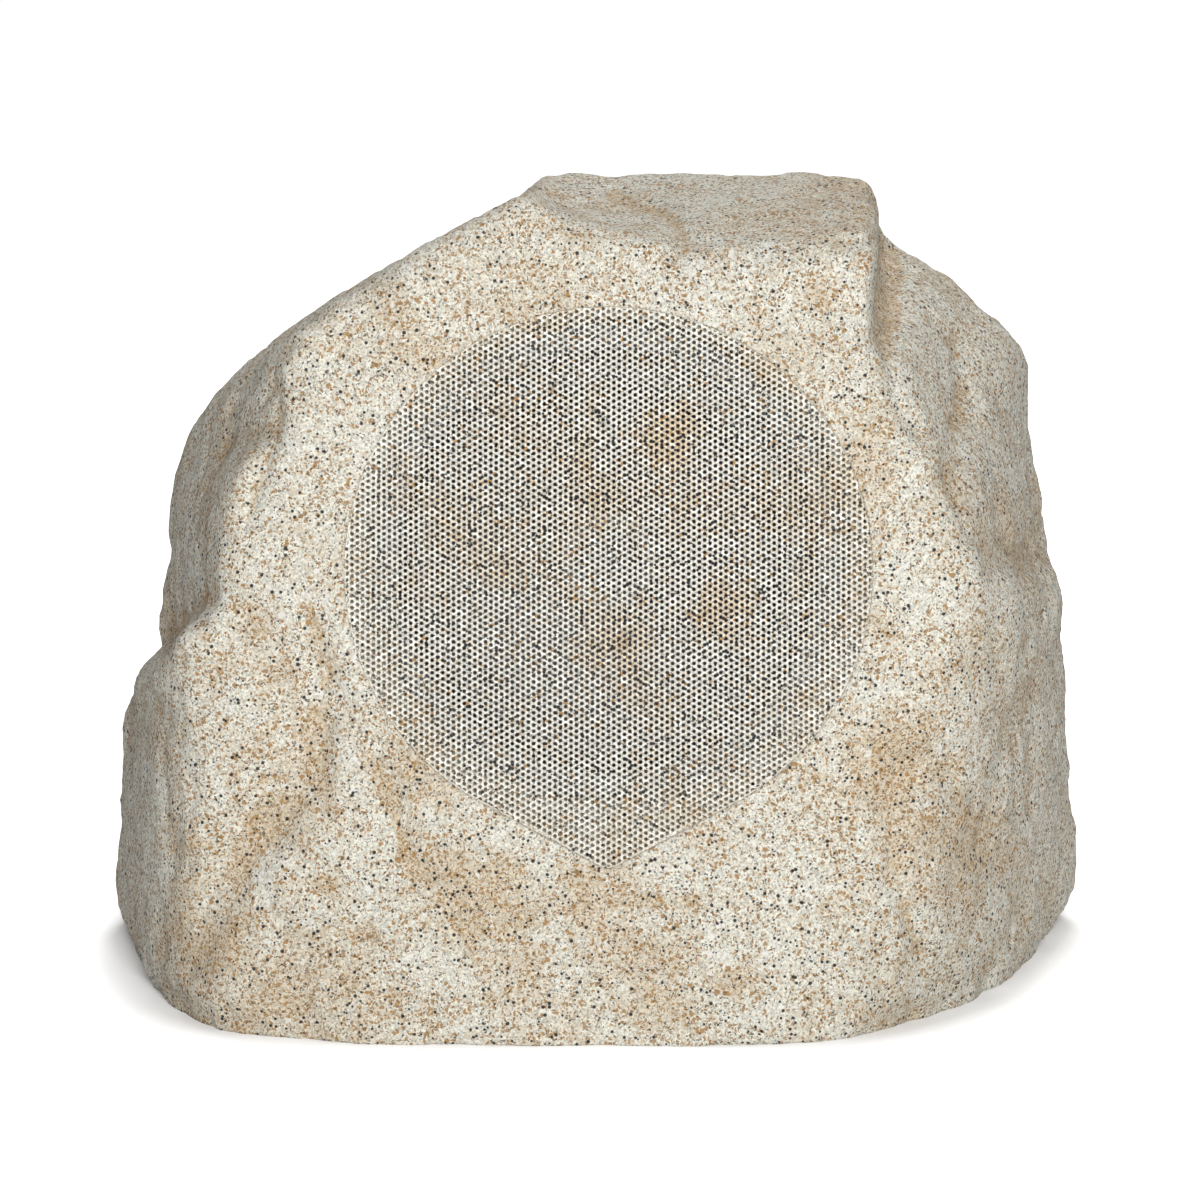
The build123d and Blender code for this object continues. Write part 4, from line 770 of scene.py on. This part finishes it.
def perforation_tree():
    """Geometry nodes that lay holes over the sheet: vertical rows, each set off by half a pitch."""
    tree, given = new_tree("perforation", [
        ("Pitch", "Float"), ("Reach", "Float"), ("Tip", "Float"), ("Cell", "Object")])
    column = sum_up(tree, "MULTIPLY", given["Pitch"], math.sqrt(3)/2)
    across = sum_up(tree, "CEIL", sum_up(tree, "DIVIDE", given["Reach"], column))
    along = sum_up(tree, "CEIL", sum_up(tree, "DIVIDE", given["Tip"], given["Pitch"]))
    grid = add(tree, "GeometryNodeMeshGrid", {
        "Size X": sum_up(tree, "MULTIPLY", sum_up(tree, "MULTIPLY", across, 2.0), column),
        "Size Y": sum_up(tree, "MULTIPLY", sum_up(tree, "MULTIPLY", along, 2.0), given["Pitch"]),
        "Vertices X": sum_up(tree, "MULTIPLY_ADD", across, 2.0, 1.0),
        "Vertices Y": sum_up(tree, "MULTIPLY_ADD", along, 2.0, 1.0)}).outputs[0]
    here = add(tree, "GeometryNodeInputPosition").outputs[0]
    place = add(tree, "ShaderNodeSeparateXYZ", {0: here}).outputs
    number = sum_up(tree, "ROUND", sum_up(tree, "DIVIDE", place[0], column))
    odd = sum_up(tree, "FLOORED_MODULO", number, 2.0)
    lift = sum_up(tree, "MULTIPLY", odd, sum_up(tree, "MULTIPLY", given["Pitch"], 0.5))
    offset = add(tree, "ShaderNodeCombineXYZ", {1: lift}).outputs[0]
    rows = add(tree, "GeometryNodeSetPosition", {"Geometry": grid, "Offset": offset}).outputs[0]

    # Holes that lie outside both the circle and the pointed part go
    squares = sum_up(tree, "MULTIPLY_ADD", place[0], place[0], sum_up(tree, "MULTIPLY", place[1], place[1]))
    off_circle = sum_up(tree, "GREATER_THAN", sum_up(tree, "SQRT", squares), given["Reach"])
    cosine = sum_up(tree, "DIVIDE", given["Reach"], given["Tip"])
    sine = sum_up(tree, "SQRT", sum_up(tree, "SUBTRACT", 1.0, sum_up(tree, "MULTIPLY", cosine, cosine)))
    sideways = sum_up(tree, "MULTIPLY", sum_up(tree, "ABSOLUTE", place[0]), sine)
    slanted = sum_up(tree, "SUBTRACT", sideways, sum_up(tree, "MULTIPLY", place[1], cosine))
    past_edge = sum_up(tree, "GREATER_THAN", slanted, given["Reach"])
    touching = sum_up(tree, "MULTIPLY", sum_up(tree, "MULTIPLY", given["Reach"], cosine), -1.0)
    too_high = sum_up(tree, "GREATER_THAN", place[1], touching)
    outside = sum_up(tree, "MULTIPLY", off_circle, sum_up(tree, "MAXIMUM", past_edge, too_high))
    going = {"Geometry": rows, "Selection": outside}
    kept = add(tree, "GeometryNodeDeleteGeometry", going, domain="POINT").outputs[0]
    cell = add(tree, "GeometryNodeObjectInfo", {"Object": given["Cell"]}).outputs["Geometry"]
    laid = add(tree, "GeometryNodeInstanceOnPoints", {"Points": kept, "Instance": cell}).outputs[0]
    whole = add(tree, "GeometryNodeRealizeInstances", {"Geometry": laid}).outputs[0]
    joining = {"Geometry": whole, "Distance": HOLE_JOIN}
    joined = add(tree, "GeometryNodeMergeByDistance", joining).outputs[0]
    paint_and_end(tree, joined, given["Paint"])
    return tree


def perforation_cell():
    """The sheet round one six-sided hole: bridges to three neighbours and the two gussets between them."""
    def corner(k):
        turn = math.radians(60*k)
        return Vector((math.cos(turn), math.sin(turn), 0))*HOLE_RADIUS

    def neighbour(k):
        turn = math.radians(30 + 60*k)
        return Vector((math.cos(turn), math.sin(turn), 0))*HOLE_PITCH

    panels = []
    for k in range(3):
        far_side = neighbour(k) + corner(k + 4), neighbour(k) + corner(k + 3)
        panels.append((corner(k), *far_side, corner(k + 1)))
    for k in range(2):
        panels.append((corner(k + 1), neighbour(k) + corner(k + 3), neighbour(k + 1) + corner(k + 5)))
    points, faces = [], []
    for panel in panels:
        faces.append(tuple(range(len(points), len(points) + len(panel))))
        points.extend(panel)
    return built("hole_cell", points, faces)


def edge_prism(name, inset, low, high, hollow=0.0):
    """The sheet's outline as a closed slab, or as a wall where hollow gives its thickness."""
    loops = [(inset, low), (inset, high)]
    if hollow:
        loops += [(inset + hollow, high), (inset + hollow, low)]
    points = []
    for back, level in loops:
        for k in range(EDGE_STEPS):
            angle = 2*math.pi*k/EDGE_STEPS
            reach = grille_edge(angle) - back
            points.append((reach*math.sin(angle), -reach*math.cos(angle), level))
    faces = []
    rings = len(loops)
    for ring in range(rings if hollow else rings - 1):
        base, top = ring*EDGE_STEPS, ((ring + 1) % rings)*EDGE_STEPS
        for k in range(EDGE_STEPS):
            after = (k + 1) % EDGE_STEPS
            faces.append((base + k, base + after, top + after, top + k))
    if not hollow:
        faces.append(tuple(reversed(range(EDGE_STEPS))))
        faces.append(tuple(range(EDGE_STEPS, 2*EDGE_STEPS)))
    return built(name, points, faces)


def make_grille(paint):
    """The perforated sheet, cut to its pointed outline, with the rim that is turned back behind it."""
    cell = perforation_cell()
    seed = built("grille_seed", [], [])
    tree = perforation_tree()
    laid = seed.modifiers.new("holes", "NODES")
    laid.node_group = tree
    set_inputs(laid, tree, {
        "Pitch": HOLE_PITCH, "Reach": GRILLE_RADIUS + HOLE_PITCH, "Tip": GRILLE_TIP + 2*HOLE_PITCH,
        "Cell": cell, "Paint": paint})
    thick = seed.modifiers.new("sheet", "SOLIDIFY")
    thick.thickness, thick.offset = GRILLE_SHEET, -1
    field = settle(seed, "grille_field")
    bpy.data.objects.remove(cell)
    outline = edge_prism("outline", 0, -3*GRILLE_SHEET, GRILLE_SHEET)
    sheet = common_part(field, outline, "grille_sheet")
    rim = edge_prism("rim", RIM_INSET, -GRILLE_RIM, -GRILLE_SHEET - RIM_GAP, GRILLE_WALL)
    work = bmesh.new()
    work.from_mesh(sheet.data)
    work.from_mesh(rim.data)
    work.to_mesh(sheet.data)
    work.free()
    bpy.data.objects.remove(rim)
    sheet.data.materials.clear()
    sheet.data.materials.append(paint)
    origin = ROCK_CENTRE + OUTWARD*(FRONT_REACH - GRILLE_SINK) + UPWARD*GRILLE_RISE
    turned = Matrix((ACROSS, UPWARD, OUTWARD)).transposed().to_4x4()
    sheet.data.transform(Matrix.Translation(origin) @ turned)
    sheet.name = "grille_mesh"
    mark_ochre_and_hollow_shade(sheet.data, GRILLE_WASHES)
    return sheet


# Stage

def make_stage():
    scene = bpy.context.scene
    scene.view_settings.view_transform = "Standard"
    camera = bpy.data.objects.new("camera", bpy.data.cameras.new("camera"))
    scene.collection.objects.link(camera)
    back = Vector((0, -math.cos(CAMERA_RISE), math.sin(CAMERA_RISE)))
    camera.location = CAMERA_TARGET + back*CAMERA_DISTANCE
    camera.rotation_euler = (-back).to_track_quat("-Z", "Y").to_euler()
    camera.data.lens, camera.data.sensor_width = CAMERA_LENS, CAMERA_SENSOR
    scene.camera = camera

    key_aim = Vector((KEY_ASIDE, -math.cos(KEY_RISE), math.sin(KEY_RISE)))
    for name, aim, distance, size, power in (
            ("key", key_aim.normalized(), KEY_DISTANCE, KEY_SIZE, KEY_POWER),
            ("top", TOP_AIM.normalized(), TOP_DISTANCE, TOP_SIZE, TOP_POWER)):
        lamp = bpy.data.lights.new(name, "AREA")
        lamp.energy, lamp.size = power, size
        light = bpy.data.objects.new(name, lamp)
        scene.collection.objects.link(light)
        light.location = CAMERA_TARGET + aim*distance
        light.rotation_euler = (-aim).to_track_quat("-Z", "Y").to_euler()

    # The background is white to the eye and in reflections, and dim as a lamp
    world = bpy.data.worlds.new("studio")
    scene.world = world
    world.use_nodes = True
    tree = world.node_tree
    path = add(tree, "ShaderNodeLightPath").outputs
    seen = sum_up(tree, "MAXIMUM", path["Is Camera Ray"], path["Is Glossy Ray"])
    seen = sum_up(tree, "MAXIMUM", seen, path["Is Transmission Ray"])
    strength = sum_up(tree, "MULTIPLY_ADD", seen, 1.0 - AMBIENT, AMBIENT)
    tree.links.new(strength, tree.nodes["Background"].inputs["Strength"])
    tree.nodes["Background"].inputs["Color"].default_value = rgb(1, 1, 1)

    # White paper that glows to the camera, with a painted contact shadow: the glow fades close to the rock
    half = FLOOR_SIZE/2
    corners = [(-half, -half, 0), (half, -half, 0), (half, half, 0), (-half, half, 0)]
    floor = built("floor", corners, [(0, 1, 2, 3)])
    paper = bpy.data.materials.new("paper")
    paper.use_nodes = True
    tree = paper.node_tree
    path = add(tree, "ShaderNodeLightPath").outputs
    inputs = tree.nodes["Principled BSDF"].inputs
    inputs["Base Color"].default_value = rgb(FLOOR_WHITE, FLOOR_WHITE, FLOOR_WHITE)
    inputs["Roughness"].default_value = FLOOR_ROUGHNESS
    inputs["Specular IOR Level"].default_value = 0.0
    inputs["Emission Color"].default_value = rgb(1, 1, 1)
    nearby = add(tree, "ShaderNodeAmbientOcclusion", {"Distance": PAINTED_SHADOW_REACH}, samples=PAINTED_SHADOW_RAYS)
    glow_with_painted_shadow = sum_up(tree, "MULTIPLY", sum_up(tree, "POWER", nearby.outputs["AO"], PAINTED_SHADOW_DEPTH), FLOOR_GLOW)
    shown = sum_up(tree, "MULTIPLY", path["Is Camera Ray"], glow_with_painted_shadow)
    tree.links.new(shown, inputs["Emission Strength"])
    floor.data.materials.append(paper)


make_stage()
materials = make_materials()
slots = {entry["node"]: entry["material_slot"] for entry in frame["record"]["subparts"]}
for node, slot in slots.items():
    nodes[node].data.materials.clear()
    nodes[node].data.materials.append(materials[slot])
for node, (moving, held) in SOFT_RINGS.items():
    bending_ring(node)

rock = make_rock(materials["rock"])
grille = make_grille(materials["grille_paint"])
for piece, node, slot in ((rock, "rock_shell", "rock"), (grille, "grille", "grille_paint")):
    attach(piece, "rock")
    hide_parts(node)
